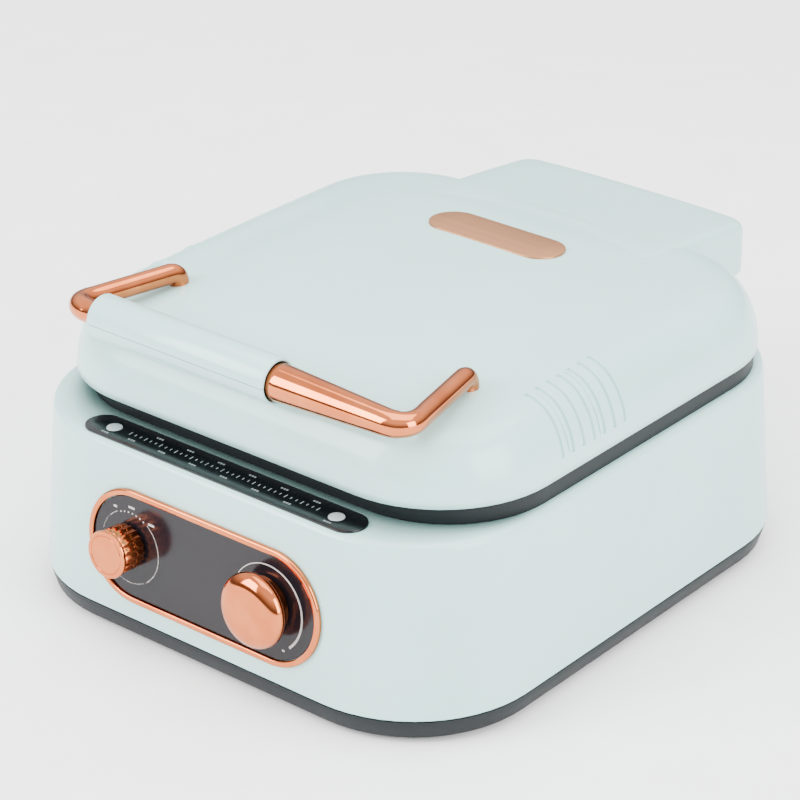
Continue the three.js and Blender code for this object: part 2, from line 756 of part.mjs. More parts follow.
function makeLiner() {
  const flange = lidForm(lidWall + gap, linerLowZ, shoulderSteps)
    .intersect(slab(linerLowZ, linerLowZ + linerThickness));
  const collar = prism(plateOutline(-linerCollar), linerLowZ, upperLipLowZ + lipThickness);
  const well = prism(plateOutline(-plateClearance), linerLowZ - 1, upperLipLowZ);
  const mouth = prism(plateOutline(lipWidth), linerLowZ, lidTopZ);
  let liner = flange.add(collar).subtract(well).subtract(mouth);
  const headTop = linerLowZ + gap + screwHeadHeight;
  for (const screw of linerScrews) {
    const post = rodZ(
      screw.x, screw.y, screwHeadRadius + bossWall / 2, linerLowZ, linerPostTop, 16);
    liner = liner.add(post.subtract(well));
    liner = liner.subtract(
      rodZ(screw.x, screw.y, screwRadius + gap, linerLowZ - 1, linerPostTop + 1, 12));
    liner = liner.subtract(
      rodZ(screw.x, screw.y, screwHeadRadius + gap, linerLowZ - 1, headTop + gap, 16));
  }
  addSolid(lid, 'lid_liner', liner, slate);
  for (const screw of linerScrews) {
    const head = rodZ(screw.x, screw.y, screwHeadRadius, linerLowZ + gap, headTop, 16);
    const stem = rodZ(screw.x, screw.y, screwRadius, linerLowZ + 1, linerScrewTop, 12);
    addSolid(lid, `liner_screw_${screw.name}`, head.add(stem), steel);
  }
}

// ---------------------------------------------------------------- hinge
function makeHinge() {
  const armLowZ = linerLowZ + linerThickness + gap;
  const armHighZ = armLowZ + armHeight;
  for (const side of [-1, 1]) {
    const name = side < 0 ? 'left' : 'right';
    const near = lugX + lugThickness / 2 + sideClearance;
    const far = near + armThickness;
    const x0 = side < 0 ? -far : near;
    const x1 = side < 0 ? -near : far;
    const leaf = block(side * lugX - leafHalfWidth, side * lugX + leafHalfWidth,
      leafFront, leafRear, armLowZ, armLowZ + leafThickness);
    const web = block(x0, x1, leafFront, hingeY, armLowZ, armHighZ);
    const eye = rodX(x0, x1, hingeY, hingeZ, lugRadius);
    const neck = block(x0, x1, hingeY - lugRadius, hingeY + lugRadius, hingeZ, armHighZ);
    const bore = rodX(x0 - 1, x1 + 1, hingeY, hingeZ, pinRadius + pinClearance);
    const arm = leaf.add(web).add(neck).add(eye).subtract(bore);
    addSolid(lid, `lid_hinge_arm_${name}`, arm, steel);

    const inner = lugX - lugThickness / 2 - sideClearance;
    const outer = far + sideClearance;
    const stem = rodX(side < 0 ? -outer : inner, side < 0 ? -inner : outer, hingeY, hingeZ,
      pinRadius);
    const headX = side < 0 ? -inner : inner - pinHead;
    const head = rodX(headX, headX + pinHead, hingeY, hingeZ, pinRadius + pinHead);
    addSolid(group, `hinge_pin_${name}`, stem.add(head), steel);
  }
}

// ---------------------------------------------------------------- handle
function barRadiusAt(x, y) {
  if (y > barY + bendReach) return armRadius;
  if (x > gripRight - counterbore / 5) {
    const along = THREE.MathUtils.clamp((x - gripRight) / (barBendX - gripRight), 0, 1);
    return THREE.MathUtils.lerp(sleeveRadius, bendBarRadius, along);
  }
  if (x < gripLeft - 1) return bendBarRadius;
  return barRadius;
}

function makeHandle() {
  const at = (x, y, z) => new THREE.Vector3(x, y, z);
  const path = roundedPath([
    at(-armEndX, armEndY, armEndDepth), at(-armEndX, armEndY, barZ),
    at(-barBendX, barY, barZ), at(barBendX, barY, barZ),
    at(armEndX, armEndY, barZ), at(armEndX, armEndY, armEndDepth),
  ], [legReach, bendReach, bendReach, legReach]);
  const steps = 52;
  const bar = tube(path, 1, steps, 9);
  const samples = path.getSpacedPoints(steps);
  const position = bar.attributes.position;
  const vertex = new THREE.Vector3();
  for (let i = 0; i < position.count; i += 1) {
    vertex.fromBufferAttribute(position, i);
    const centre = samples.reduce((best, sample) =>
      (sample.distanceToSquared(vertex) < best.distanceToSquared(vertex) ? sample : best));
    vertex.sub(centre).multiplyScalar(barRadiusAt(centre.x, centre.y)).add(centre);
    position.setXYZ(i, vertex.x, vertex.y, vertex.z);
  }
  add(lid, 'handle_bar', bar, copper);

  const sleeve = rodX(gripLeft, gripRight, barY, barZ, gripRadius, 28)
    .subtract(rodX(gripLeft - 1, gripRight + 1, barY, barZ, barRadius + gap, 20))
    .subtract(rodX(gripRight - counterbore, gripRight + 1, barY, barZ, sleeveRadius + gap, 20));
  const upper = slab(barZ + gap / 2, barZ + through);
  const lower = slab(barZ - through, barZ - gap / 2);
  for (const side of [-1, 1]) {
    const ring = rodZ(
      side * armEndX, armEndY, armRadius + ringWidth, ringLowZ, ringTopZ)
      .subtract(rodZ(side * armEndX, armEndY, armRadius + gap, armEndDepth - 1, lidTopZ, 14));
    addSolid(lid, `handle_ring_${side < 0 ? 'left' : 'right'}`, ring, steel);
  }
  addSolid(lid, 'grip_upper_half', sleeve.intersect(upper), mint);
  addSolid(lid, 'grip_lower_half', sleeve.intersect(lower), mint);
}

function makeBadge() {
  const plate = prismGeometry(
    stadium(badgeHalfLength, badgeRadius), badgeProud - badgeThickness, badgeProud, 6);
  const badge = add(lid, 'lid_badge', plate, copperSatin);
  badge.position.set(0, badgeY, crownZ(0, badgeY));
  badge.rotation.x = badgeTilt;
}

// ---------------------------------------------------------------- control panel
// In the panel's frame x runs along it, y up the wall, z straight out of the wall.
function makePanel() {
  const trimOuter = stadium(panelHalfLength, panelRadius);
  const trimBlank = domedPrism(
    trimOuter, gap, trimProud, trimRound, trimRound, 2, { curveSegments: 6 });
  const opening = prism(stadium(panelHalfLength, panelRadius - trimWidth), -1, trimProud + 1, 6);
  addSolid(panel, 'panel_trim', trimBlank.subtract(opening), copper);
  let face = prism(stadium(panelHalfLength, panelRadius - trimWidth - gap),
    faceProud - faceThickness, faceProud, 6);
  const bracketHalf = panelHalfLength + bracketPast;
  let bracket = block(-bracketHalf, bracketHalf, -bracketHalfHeight, bracketHalfHeight,
    -bracketSetback - bracketThickness, -bracketSetback);
  for (const x of [timerX, thermostatX]) {
    const hole = rodZ(x, knobRise, shaftRadius + shaftClearance, -2 * bracketSetback,
      bracketSetback, 16);
    face = face.subtract(hole);
    bracket = bracket.subtract(hole);
  }
  for (const side of [-1, 1]) {
    bracket = bracket.add(block(
      side * bracketHalf - bracketFlange / 2, side * bracketHalf + bracketFlange / 2,
      -bracketHalfHeight, bracketHalfHeight,
      -bracketSetback - bracketThickness, -housingWall - gap));
  }
  addSolid(panel, 'panel_face', face, smoke);
  addSolid(panel, 'control_bracket', bracket, steel);
}

function flutedShape(radius, depth, count) {
  const points = [];
  const perFlute = 4;
  for (let i = 0; i < count * perFlute; i += 1) {
    const turn = (2 * Math.PI * i) / (count * perFlute);
    const r = radius - depth * (0.5 - 0.5 * Math.cos(turn * count));
    points.push(new THREE.Vector2(r * Math.cos(turn), r * Math.sin(turn)));
  }
  return new THREE.Shape(points);
}

// Front of the timer and of the thermostat, behind the control bracket.
const bodyTop = -bracketSetback - bracketThickness - gap;

function makeTimer() {
  const low = faceProud + knobLift;
  const high = low + timerKnobLength;
  const shaftHigh = high - knobSkin;
  const shaftLow = bodyTop - shaftDepth;
  const body = prism(flutedShape(timerKnobRadius - 0.5, fluteDepth, fluteCount), low,
    high - timerCapThickness - gap).subtract(
    rodZ(0, 0, shaftRadius + gap, low - 1, shaftHigh, 16));
  const cap = rodZ(0, 0, timerKnobRadius, high - timerCapThickness, high, 36);
  const shaft = rodZ(0, 0, shaftRadius, shaftLow, shaftHigh - gap, 14);
  const half = timerBodySize / 2;
  const box = block(-half, half, -half, half, bodyTop - timerBodyDepth, bodyTop)
    .subtract(rodZ(0, 0, shaftRadius + shaftClearance, shaftLow - gap, bodyTop + 1, 16));
  const timer = new THREE.Group();
  timer.position.set(timerX, knobRise, 0);
  panel.add(timer);
  addSolid(timer, 'timer_knob', body, copper);
  addSolid(timer, 'timer_knob_cap', cap, copper);
  addSolid(timer, 'timer_shaft', shaft, steel);
  addSolid(timer, 'timer_body', box, bakelite);
}

function makeThermostat() {
  const low = faceProud + knobLift;
  const high = low + thermostatKnobLength;
  const radius = thermostatKnobRadius;
  const neckRadius = radius * thermostatNeck;
  const domeLow = low + thermostatKnobLength * 0.57;
  const shaftHigh = high - knobSkin;
  const shaftLow = bodyTop - shaftDepth;
  const outline = [
    new THREE.Vector2(0, low),
    new THREE.Vector2(neckRadius, low),
    new THREE.Vector2(neckRadius, low + 0.45 * (domeLow - low)),
    new THREE.Vector2(radius * 0.97, low + 0.75 * (domeLow - low)),
  ];
  const domeSteps = 5;
  for (let i = 0; i <= domeSteps; i += 1) {
    const turn = (i / domeSteps) * (Math.PI / 2);
    outline.push(new THREE.Vector2(
      radius * Math.cos(turn) ** 0.55, domeLow + (high - domeLow) * Math.sin(turn)));
  }
  outline[outline.length - 1].x = 0;
  const dome = new THREE.LatheGeometry(outline, 28);
  dome.rotateX(Math.PI / 2);
  const knob = toSolid(dome).subtract(
    rodZ(0, 0, shaftRadius + gap, low - 1, shaftHigh, 16));
  const shaft = rodZ(0, 0, shaftRadius, shaftLow, shaftHigh - gap, 14);
  const drum = rodZ(0, 0, thermostatBodyRadius, bodyTop - thermostatBodyDepth, bodyTop, 28)
    .subtract(rodZ(0, 0, shaftRadius + shaftClearance, shaftLow - gap, bodyTop + 1, 16));
  const thermostat = new THREE.Group();
  thermostat.position.set(thermostatX, knobRise, 0);
  panel.add(thermostat);
  addSolid(thermostat, 'temperature_knob', knob, copper);
  addSolid(thermostat, 'thermostat_shaft', shaft, steel);
  addSolid(thermostat, 'thermostat_body', drum, ceramic);
}

// ---------------------------------------------------------------- indicator strip
function makeStrip() {
  const top = ledgeZ + stripProud;
  let strip = domedPrism(stadium(stripHalfLength, stripRadius), ledgeZ + gap, top,
    stripRound, stripRound, 1, { curveSegments: 6 });
  for (const side of [-1, 1]) {
    const x = side * lampX;
    const name = side < 0 ? 'power' : 'ready';
    strip = strip.subtract(rodZ(x, 0, lampRadius + gap, ledgeZ - 1, top + 1, 20));
    const lens = rodZ(x, stripY, lampRadius, ledgeZ - lensDepth, top + lampProud, 20);
    addSolid(group, `${name}_lamp_lens`, lens, lampWhite);
    const holderTop = ledgeZ - lensDepth - gap;
    const holder = rodZ(
      x, stripY, lampRadius + holderWall, holderTop - holderDepth, holderTop, 16);
    addSolid(group, `${name}_lamp_holder`, holder, ceramic);
  }
  addSolid(group, 'indicator_strip', strip, black).position.y = stripY;
}

// ---------------------------------------------------------------- electrical parts
function makeWiringParts() {
  const blockLowZ = footHeight + trayFloor + gap;
  const blockFrontY = baseHalfDepth - 70;
  addSolid(group, 'terminal_block', block(
    bushingX - terminalLength / 2, bushingX + terminalLength / 2,
    blockFrontY, blockFrontY + terminalWidth, blockLowZ, blockLowZ + terminalHeight), ceramic);
  addSolid(group, 'thermal_fuse', rodX(
    -fuseLength / 2, fuseLength / 2, plateCentreY + fuseLength / 2,
    reflectorLowZ - gap - fuseRadius, fuseRadius, 14), ceramic);

  const wallY = -frontWallY(bushingZ);
  const barrel = rodY(wallY - housingWall - bushingInside, wallY + bushingOutside,
    bushingX, bushingZ, bushingRadius);
  const collar = rodY(wallY + bushingCollar / 2, wallY + bushingOutside / 2, bushingX, bushingZ,
    bushingRadius + bushingCollar);
  const bore = rodY(
    wallY - bushingInside * 2, wallY + bushingOutside + 1, bushingX, bushingZ, bushingBore, 16);
  addSolid(group, 'cord_bushing', barrel.add(collar).subtract(bore), rubber);
}

makeHousing();
makeTray();
makeFeetAndScrews();
makeDeck();
makeLowerHeat();
makeWiringParts();
makeStrip();
makePanel();
makeTimer();
makeThermostat();
makeLidCover();
makeLiner();
makeUpperHeat();
makeHinge();
makeHandle();
makeBadge();

// The origin goes below the middle of the whole object.
const bounds = new THREE.Box3().setFromObject(group, true);
group.position.y = -(bounds.min.y + bounds.max.y) / 2;

export default group;
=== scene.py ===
"""A countertop waffle maker with a mint shell, a slate tray and rose copper trim.

Every piece is drawn in millimetres about the middle of the base, with X to the right, Y to the
rear and Z up, and is put in the CAD frame, in metres, when it is finished.
"""

import json
import math

import bmesh
import bpy
from mathutils import Matrix, Vector


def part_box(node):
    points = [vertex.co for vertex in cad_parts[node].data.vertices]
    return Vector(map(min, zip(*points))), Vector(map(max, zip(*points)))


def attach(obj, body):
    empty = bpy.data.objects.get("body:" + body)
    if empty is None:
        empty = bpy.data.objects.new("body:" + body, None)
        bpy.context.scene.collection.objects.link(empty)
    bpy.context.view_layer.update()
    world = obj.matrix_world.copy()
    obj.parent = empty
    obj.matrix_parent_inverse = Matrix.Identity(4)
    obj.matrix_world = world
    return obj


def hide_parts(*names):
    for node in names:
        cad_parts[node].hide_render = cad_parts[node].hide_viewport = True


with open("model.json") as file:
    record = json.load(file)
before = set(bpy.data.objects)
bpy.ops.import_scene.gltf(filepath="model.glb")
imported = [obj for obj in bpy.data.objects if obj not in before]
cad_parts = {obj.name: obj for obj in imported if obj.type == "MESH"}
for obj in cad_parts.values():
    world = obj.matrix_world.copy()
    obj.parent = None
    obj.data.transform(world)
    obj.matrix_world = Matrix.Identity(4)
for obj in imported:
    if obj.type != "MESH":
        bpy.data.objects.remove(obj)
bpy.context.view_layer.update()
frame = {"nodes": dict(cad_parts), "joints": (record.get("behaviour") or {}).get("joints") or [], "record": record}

MM = 0.001
JOINTS = {joint["name"]: joint for joint in frame["joints"]}


def box_mm(node):
    """Lowest and highest corner of a CAD node, in millimetres about the middle of the base."""
    low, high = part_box(node)
    shift = Vector((0, MIDDLE_Y, 0))
    return (low - shift) / MM, (high - shift) / MM


# ------------------------------------------------------------------ places read from the frame
base_low, base_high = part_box("base_housing")
MIDDLE_Y = (base_low.y + base_high.y) / 2
PLACE = Matrix.Translation((0, MIDDLE_Y, 0)) @ Matrix.Scale(MM, 4)

HOUSING_LOW, HOUSING_HIGH = box_mm("base_housing")
TRAY_LOW, TRAY_HIGH = box_mm("bottom_tray")
DECK_LOW, DECK_HIGH = box_mm("deck_frame")
PLATE_LOW, PLATE_HIGH = box_mm("lower_plate")
UPPER_HIGH = box_mm("upper_plate")[1]
LID_LOW, LID_HIGH = box_mm("lid_cover")
LINER_LOW = box_mm("lid_liner")[0]
STRIP_LOW, STRIP_HIGH = box_mm("indicator_strip")
BAR_LOW = box_mm("handle_bar")[0]
GRIP_LOW, GRIP_HIGH = box_mm("grip_upper_half")
BADGE_LOW, BADGE_HIGH = box_mm("lid_badge")

# ------------------------------------------------------------------ sizes, in millimetres
GAP = 0.3
SNAP = 1e-4
CORNERS = ("front_left", "front_right", "rear_left", "rear_right")
CORNER_STEPS = 14

BASE_HALF_WIDTH = HOUSING_HIGH.x
BASE_HALF_DEPTH = HOUSING_HIGH.y
BASE_CORNER = 55.5
SEAM_Z = HOUSING_LOW.z
LEDGE_Z = HOUSING_HIGH.z
LEDGE_ROUND = 3
WALL_ROWS = 5
WALL = 2.6
SIDE_LEAN = math.radians(3)
FRONT_LEAN = math.radians(4.2)

TRAY_INSET = 2.3
TRAY_RIM_INSET = 0.4
TRAY_RIM_BAND = 0.9
TRAY_FLOOR = 2.5
TRAY_WALL = 2 * WALL
SLOTS_EACH_SIDE = 4
SLOT_PITCH = 11
SLOT_HALF_WIDTH = 2.6
SLOT_HALF_LENGTH = 35
SLOT_CORNER = 0.4
SCREW_HOLE_RADIUS = 3.9

DECK_HALF_WIDTH = DECK_HIGH.x
DECK_FRONT = DECK_LOW.y
DECK_CORNER = 47
DECK_TOP_Z = LINER_LOW.z - GAP
DECK_EDGE = 1.2
SKIRT_INSET = 3.6
LUG_X = 44
LUG_HALF_WIDTH = 3.5
LUG_EYE_RADIUS = 6
LUG_ROOT = 6

PLATE_HALF_WIDTH = PLATE_HIGH.x
PLATE_CORNER = 28
PLATE_WALL = 3.5
PLATE_FLOOR = 3
PLATE_EDGE = 0.8
PLATE_ROOM = 0.4
POCKET_BEVEL = 0.5
PLATE_MIDDLE_Y = (PLATE_LOW.y + PLATE_HIGH.y) / 2
PLATE_HALF_DEPTH = (PLATE_HIGH.y - PLATE_LOW.y) / 2
STUD_PITCH = 19
STUD_SIZE = 14.6
STUD_TAPER = 2.1
STUD_HEIGHT = 6.5
STUD_ROUND = 0.9
STUD_ROWS = 8
LIP_WIDTH = 6

LID_HALF_WIDTH = LID_HIGH.x
LID_FRONT = LID_LOW.y
LID_REAR = LID_HIGH.y - 37
LID_CORNER = 51
RIM_Z = LID_LOW.z
LID_TOP_Z = LID_HIGH.z
SHOULDER = 27
SHOULDER_RISE = 32.5
CROWN_RADIUS = 1045
CROWN_BLEND = 8
LINER_HEIGHT = 3.5
LINER_POCKET = 3
LINER_POCKET_WALL = 3.2
CROWN_MIDDLE_Y = PLATE_MIDDLE_Y
DECK_REAR = LID_REAR - 1

BLOCK_HALF_WIDTH = 60.5
BLOCK_REAR = LID_HIGH.y
BLOCK_FRONT = LID_REAR - 49
BLOCK_CORNER = 9
BLOCK_TOP = 30.4
BLOCK_FALL = 6.4
BLOCK_FALL_START = LID_REAR - 31
BLOCK_ROUND = 4
BLOCK_MOUTH_HALF_WIDTH = 57.6
BLOCK_MOUTH_HEIGHT = 20
BLOCK_MOUTH_DEPTH = 5.5

VENTS = 7
VENT_PITCH = 6.6
VENT_WIDTH = 2.2
VENT_DEPTH = 1
VENT_TAPER = 0.3
VENT_FOOT = 0.634
VENT_HEAD = 19.5
VENT_MIDDLE_Y = CROWN_MIDDLE_Y - 35.75

PANEL_HALF_LENGTH = 36.4
PANEL_RADIUS = 24.45
TRIM_WIDTH = 2.6
TRIM_PROUD = 2
TRIM_EDGE = 0.9
TRIM_INNER_EDGE = 0.5
FACE_PROUD = 0.9
FACE_THICKNESS = 2.4
MARK_HEIGHT = 0.12
TIMER_SCALE_RADIUS = 15.1
TEMPERATURE_SCALE_RADIUS = 17.4
KNOB_RISE = 0.6
KNOB_LOW = 1.9
SCALE_DROP = 1.4

BAR_Y = (GRIP_LOW.y + GRIP_HIGH.y) / 2
BAR_Z = GRIP_LOW.z - GAP / 2
ARM_END = (75, -58)
BEND_X = 86.5
ARM_BEND = 11
ARM_RADIUS = 4.3
BEND_RADIUS = 5
SLEEVE_RADIUS = 7.7
CORE_RADIUS = 6
GRIP_RADIUS = 9.3


# ------------------------------------------------------------------ bmesh helpers
def edges_of(verts):
    """The edges that meet these points, each once."""
    return list({edge for vert in verts for edge in vert.link_edges})


def only(kind, geom):
    """The elements of one kind out of an operator's result."""
    return [element for element in geom if isinstance(element, kind)]


def loop(bm, half_width, front, rear, corner, z, steps=CORNER_STEPS):
    """A closed loop of edges round a rectangle with rounded corners."""
    ends = ((-half_width, front), (half_width, front), (half_width, rear), (-half_width, rear))
    verts = [bm.verts.new((x, y, z)) for x, y in ends]
    bm.faces.new(verts)
    made = bmesh.ops.bevel(
        bm, geom=verts, offset=corner, segments=steps, profile=0.5, affect="VERTICES",
        material=-1, clamp_overlap=False)
    edges = edges_of(made["verts"])
    faces = list({face for edge in edges for face in edge.link_faces})
    bmesh.ops.delete(bm, geom=faces, context="FACES_ONLY")
    return edges


def ring(bm, radius, z, sides=64, middle=(0, 0)):
    """A closed loop of edges round a circle."""
    made = bmesh.ops.create_circle(
        bm, radius=radius, segments=sides, matrix=Matrix.Translation((*middle, z)))
    return edges_of(made["verts"])


def stadium(bm, half_length, radius, z, steps=20):
    """A closed loop of edges round a bar with round ends, which keep a hair of straight between."""
    return loop(bm, half_length + radius, -radius, radius, radius * 0.9999, z, steps)


def loft(bm, loops):
    """Walls from each loop to the next."""
    for low, high in zip(loops, loops[1:]):
        bmesh.ops.bridge_loops(bm, edges=low + high)


def cap(bm, edges):
    """Fills one loop, or the land between an outer loop and the holes in it."""
    return bmesh.ops.triangle_fill(bm, use_beauty=True, edges=edges)


def flat_face(bm, edges):
    """One flat face on a loop."""
    return bmesh.ops.contextual_create(bm, geom=edges)["faces"][0]


def sweep(bm, points, radii, sides=28):
    """A round bar along a line of points, closed at both ends."""
    tangents = []
    for i in range(len(points)):
        ahead = points[min(i + 1, len(points) - 1)]
        behind = points[max(i - 1, 0)]
        tangents.append((ahead - behind).normalized())
    turn = Vector((0, 0, 1)).rotation_difference(tangents[0])
    loops = []
    for i, (point, radius) in enumerate(zip(points, radii)):
        if i:
            turn = tangents[i - 1].rotation_difference(tangents[i]) @ turn
        place = Matrix.Translation(point) @ turn.to_matrix().to_4x4()
        made = bmesh.ops.create_circle(bm, radius=radius, segments=sides, matrix=place)
        loops.append(edges_of(made["verts"]))
    loft(bm, loops)
    cap(bm, loops[0])
    cap(bm, loops[-1])


def turned(bm, profile, steps=72):
    """A solid turned about Z from (radius, height) points that start and end on the axis."""
    verts = [bm.verts.new((radius, 0, z)) for radius, z in profile]
    edges = [bm.edges.new(pair) for pair in zip(verts, verts[1:])]
    bmesh.ops.spin(
        bm, geom=verts + edges, cent=(0, 0, 0), axis=(0, 0, 1), angle=2 * math.pi,
        steps=steps, use_merge=True)


def arc(middle, radius, start, end, steps):
    """Points (radius, height) along an arc, angles in degrees from outwards to up."""
    turns = [math.radians(start + (end - start) * i / steps) for i in range(steps + 1)]
    return [(middle[0] + radius * math.cos(a), middle[1] + radius * math.sin(a)) for a in turns]


def quarter(steps):
    """Shares of an edge's radius, (in from the side, down from the top), round a quarter turn."""
    turns = [math.pi / 2 * i / steps for i in range(steps + 1)]
    return [(1 - math.cos(turn), 1 - math.sin(turn)) for turn in turns]


def raise_faces(bm, faces, offset):
    """Copies faces to an offset and walls in the sides, which makes them a solid."""
    made = bmesh.ops.extrude_face_region(bm, geom=faces, use_keep_orig=True)
    bmesh.ops.translate(bm, verts=only(bmesh.types.BMVert, made["geom"]), vec=offset)


def cut_faces(bm, faces, axis, place):
    """Adds a line of points where a plane across an axis meets these faces; gives all of them."""
    point, normal = [0, 0, 0], [0, 0, 0]
    point[axis] = place
    normal[axis] = 1
    edges = {edge for face in faces for edge in face.edges}
    verts = {vert for face in faces for vert in face.verts}
    cut = bmesh.ops.bisect_plane(
        bm, geom=[*faces, *edges, *verts], dist=SNAP, plane_co=point, plane_no=normal)
    return only(bmesh.types.BMFace, cut["geom"])


def make(name, bm, body, slot, nodes=(), place=PLACE, shell=0, smooth=35, material=None):
    """Finishes a piece: puts it in place, shades it, and ties it to its CAD body and nodes.

    Its material is its slot's finish, unless another is given.
    """
    bmesh.ops.remove_doubles(bm, verts=bm.verts, dist=SNAP)
    bmesh.ops.dissolve_degenerate(bm, edges=bm.edges, dist=SNAP / 10)
    bmesh.ops.transform(bm, matrix=place, verts=bm.verts)
    bmesh.ops.recalc_face_normals(bm, faces=bm.faces)
    mesh = bpy.data.meshes.new(name)
    bm.to_mesh(mesh)
    bm.free()
    mesh.materials.append(material or FINISH[slot])
    piece = bpy.data.objects.new(name, mesh)
    bpy.context.scene.collection.objects.link(piece)
    mesh.shade_smooth()
    mesh.set_sharp_from_angle(angle=math.radians(smooth))
    if shell:
        wall = piece.modifiers.new("wall", "SOLIDIFY")
        wall.thickness = shell * MM
        wall.offset = -1
    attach(piece, body)
    if nodes:
        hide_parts(*nodes)
    return piece


# ------------------------------------------------------------------ camera, light and floor
def make_camera():
    """A long lens from the front right and above, with a hair of roll."""
    azimuth, elevation, roll = (math.radians(a) for a in (39.765, 26.514, -0.181))
    eye = PLACE @ Vector((701.933, -851.652, 621.119))
    back = Vector((
        math.sin(azimuth) * math.cos(elevation),
        -math.cos(azimuth) * math.cos(elevation),
        math.sin(elevation)))
    right = Vector((math.cos(azimuth), math.sin(azimuth), 0))
    up = back.cross(right)
    level_right = right * math.cos(roll) + up * math.sin(roll)
    level_up = up * math.cos(roll) - right * math.sin(roll)
    data = bpy.data.cameras.new("camera")
    data.lens = 134.52
    data.sensor_width = 36
    data.clip_end = 20
    camera = bpy.data.objects.new("camera", data)
    turn = Matrix((level_right, level_up, back)).transposed().to_4x4()
    camera.matrix_world = Matrix.Translation(eye) @ turn
    bpy.context.scene.collection.objects.link(camera)
    bpy.context.scene.camera = camera


def area_light(name, eye, target, size, power):
    """A rectangular softbox; its place, aim and size are in metres and its power in watts."""
    data = bpy.data.lights.new(name, "AREA")
    data.shape = "RECTANGLE"
    data.size, data.size_y = size
    data.energy = power
    light = bpy.data.objects.new(name, data)
    aim = (Vector(target) - Vector(eye)).to_track_quat("-Z", "Y")
    light.matrix_world = Matrix.Translation(eye) @ aim.to_matrix().to_4x4()
    bpy.context.scene.collection.objects.link(light)


def make_floor():
    """A wide flat sheet under the object."""
    bm = bmesh.new()
    bmesh.ops.create_grid(bm, x_segments=1, y_segments=1, size=6)
    mesh = bpy.data.meshes.new("floor")
    bm.to_mesh(mesh)
    bm.free()
    mesh.materials.append(floor_paper())
    floor = bpy.data.objects.new("floor", mesh)
    bpy.context.scene.collection.objects.link(floor)


def make_world():
    """Soft light from all round, darker low down so that the metal has something to mirror."""
    low_height, high_height = 0.1, 0.55
    low_grey, high_grey = 0.15, 1
    world = bpy.data.worlds.new("studio")
    world.use_nodes = True
    tree = world.node_tree
    where = node(tree, "ShaderNodeTexCoord")
    height = node(tree, "ShaderNodeSeparateXYZ", {}, Vector=where.outputs["Generated"])
    fade = node(tree, "ShaderNodeValToRGB", {}, Fac=height.outputs["Z"])
    set_ramp(fade, (low_height, (low_grey, low_grey, low_grey, 1)),
             (high_height, (high_grey, high_grey, high_grey, 1)))
    sky = tree.nodes["Background"]
    tree.links.new(fade.outputs[0], sky.inputs["Color"])
    sky.inputs["Strength"].default_value = 2.2
    bpy.context.scene.world = world


def make_studio():
    make_floor()
    make_world()
    middle = (0, 0, 0.07)
    area_light("overhead_softbox", (0.1, 0.1, 1.6), middle, (1.6, 1.6), 40)
    area_light("front_softbox", (-0.9, -1.5, 1.0), middle, (1.0, 1.2), 66)
    area_light("side_softbox", (1.7, -0.2, 0.7), middle, (1.0, 1.2), 48)


# ------------------------------------------------------------------ materials
def srgb(code):
    """A six-digit sRGB hex colour as linear values."""
    values = [int(code[i:i + 2], 16) / 255 for i in (0, 2, 4)]
    linear = [v / 12.92 if v <= 0.04045 else ((v + 0.055) / 1.055) ** 2.4 for v in values]
    return (*linear, 1)


def node(tree, kind, settings=None, **links):
    """Adds a node, sets its properties and sockets, and links other nodes' outputs to it."""
    made = tree.nodes.new(kind)
    for key, value in (settings or {}).items():
        if hasattr(made, key):
            setattr(made, key, value)
        else:
            made.inputs[key.replace("_", " ")].default_value = value
    for key, source in links.items():
        tree.links.new(source, made.inputs[key.replace("_", " ")])
    return made


def set_ramp(ramp, *stops):
    """Sets the two stops of a colour ramp, each a position and a linear colour."""
    for element, (position, colour) in zip(ramp.color_ramp.elements, stops):
        element.position = position
        element.color = colour


def surface(name, colour, second, metallic=0.0, roughness=0.4, spread=0.05, grain=0.5,
            grain_height=0.02, cloud=30.0, ior=None, coat=0.0, gloss_level=0.5, stretch=(1, 1, 1)):
    """A finish with a drifting tone, uneven gloss and a fine surface grain.

    `grain` is the spacing of the surface texture and `cloud` that of the tone, in millimetres.
    `stretch` draws both out along an axis where it is under 1.
    """
    material = bpy.data.materials.new(name)
    material.use_nodes = True
    tree = material.node_tree
    shader = tree.nodes["Principled BSDF"]
    plain = {"Metallic": metallic, "Specular IOR Level": gloss_level, "Coat Weight": coat,
             "Coat Roughness": 0.06}
    for socket, value in plain.items():
        shader.inputs[socket].default_value = value
    if ior:
        shader.inputs["IOR"].default_value = ior
    where = node(tree, "ShaderNodeTexCoord")
    spread_out = node(tree, "ShaderNodeMapping", {"Scale": stretch}, Vector=where.outputs["Object"])
    tone = node(tree, "ShaderNodeTexNoise", {"Scale": 1 / (cloud * MM), "Detail": 3.0},
                Vector=spread_out.outputs[0])
    tint = node(tree, "ShaderNodeValToRGB", {}, Fac=tone.outputs[0])
    set_ramp(tint, (0.35, srgb(second)), (0.65, srgb(colour)))
    tree.links.new(tint.outputs[0], shader.inputs["Base Color"])
    fine = node(tree, "ShaderNodeTexNoise", {"Scale": 1 / (grain * MM), "Detail": 2.0},
                Vector=spread_out.outputs[0])
    gloss = node(tree, "ShaderNodeMapRange",
                 {"To_Min": roughness - spread, "To_Max": roughness + spread},
                 Value=tone.outputs[0])
    tree.links.new(gloss.outputs[0], shader.inputs["Roughness"])
    bump = node(tree, "ShaderNodeBump", {"Strength": 0.6, "Distance": grain_height * MM},
                Height=fine.outputs[0])
    tree.links.new(bump.outputs[0], shader.inputs["Normal"])
    return material


def floor_paper():
    """Seamless white paper sweep, matt, which gives a clean pale ground."""
    return surface("white_background_paper", "f6f6f6", "f3f3f3", roughness=0.85, grain=0.8)


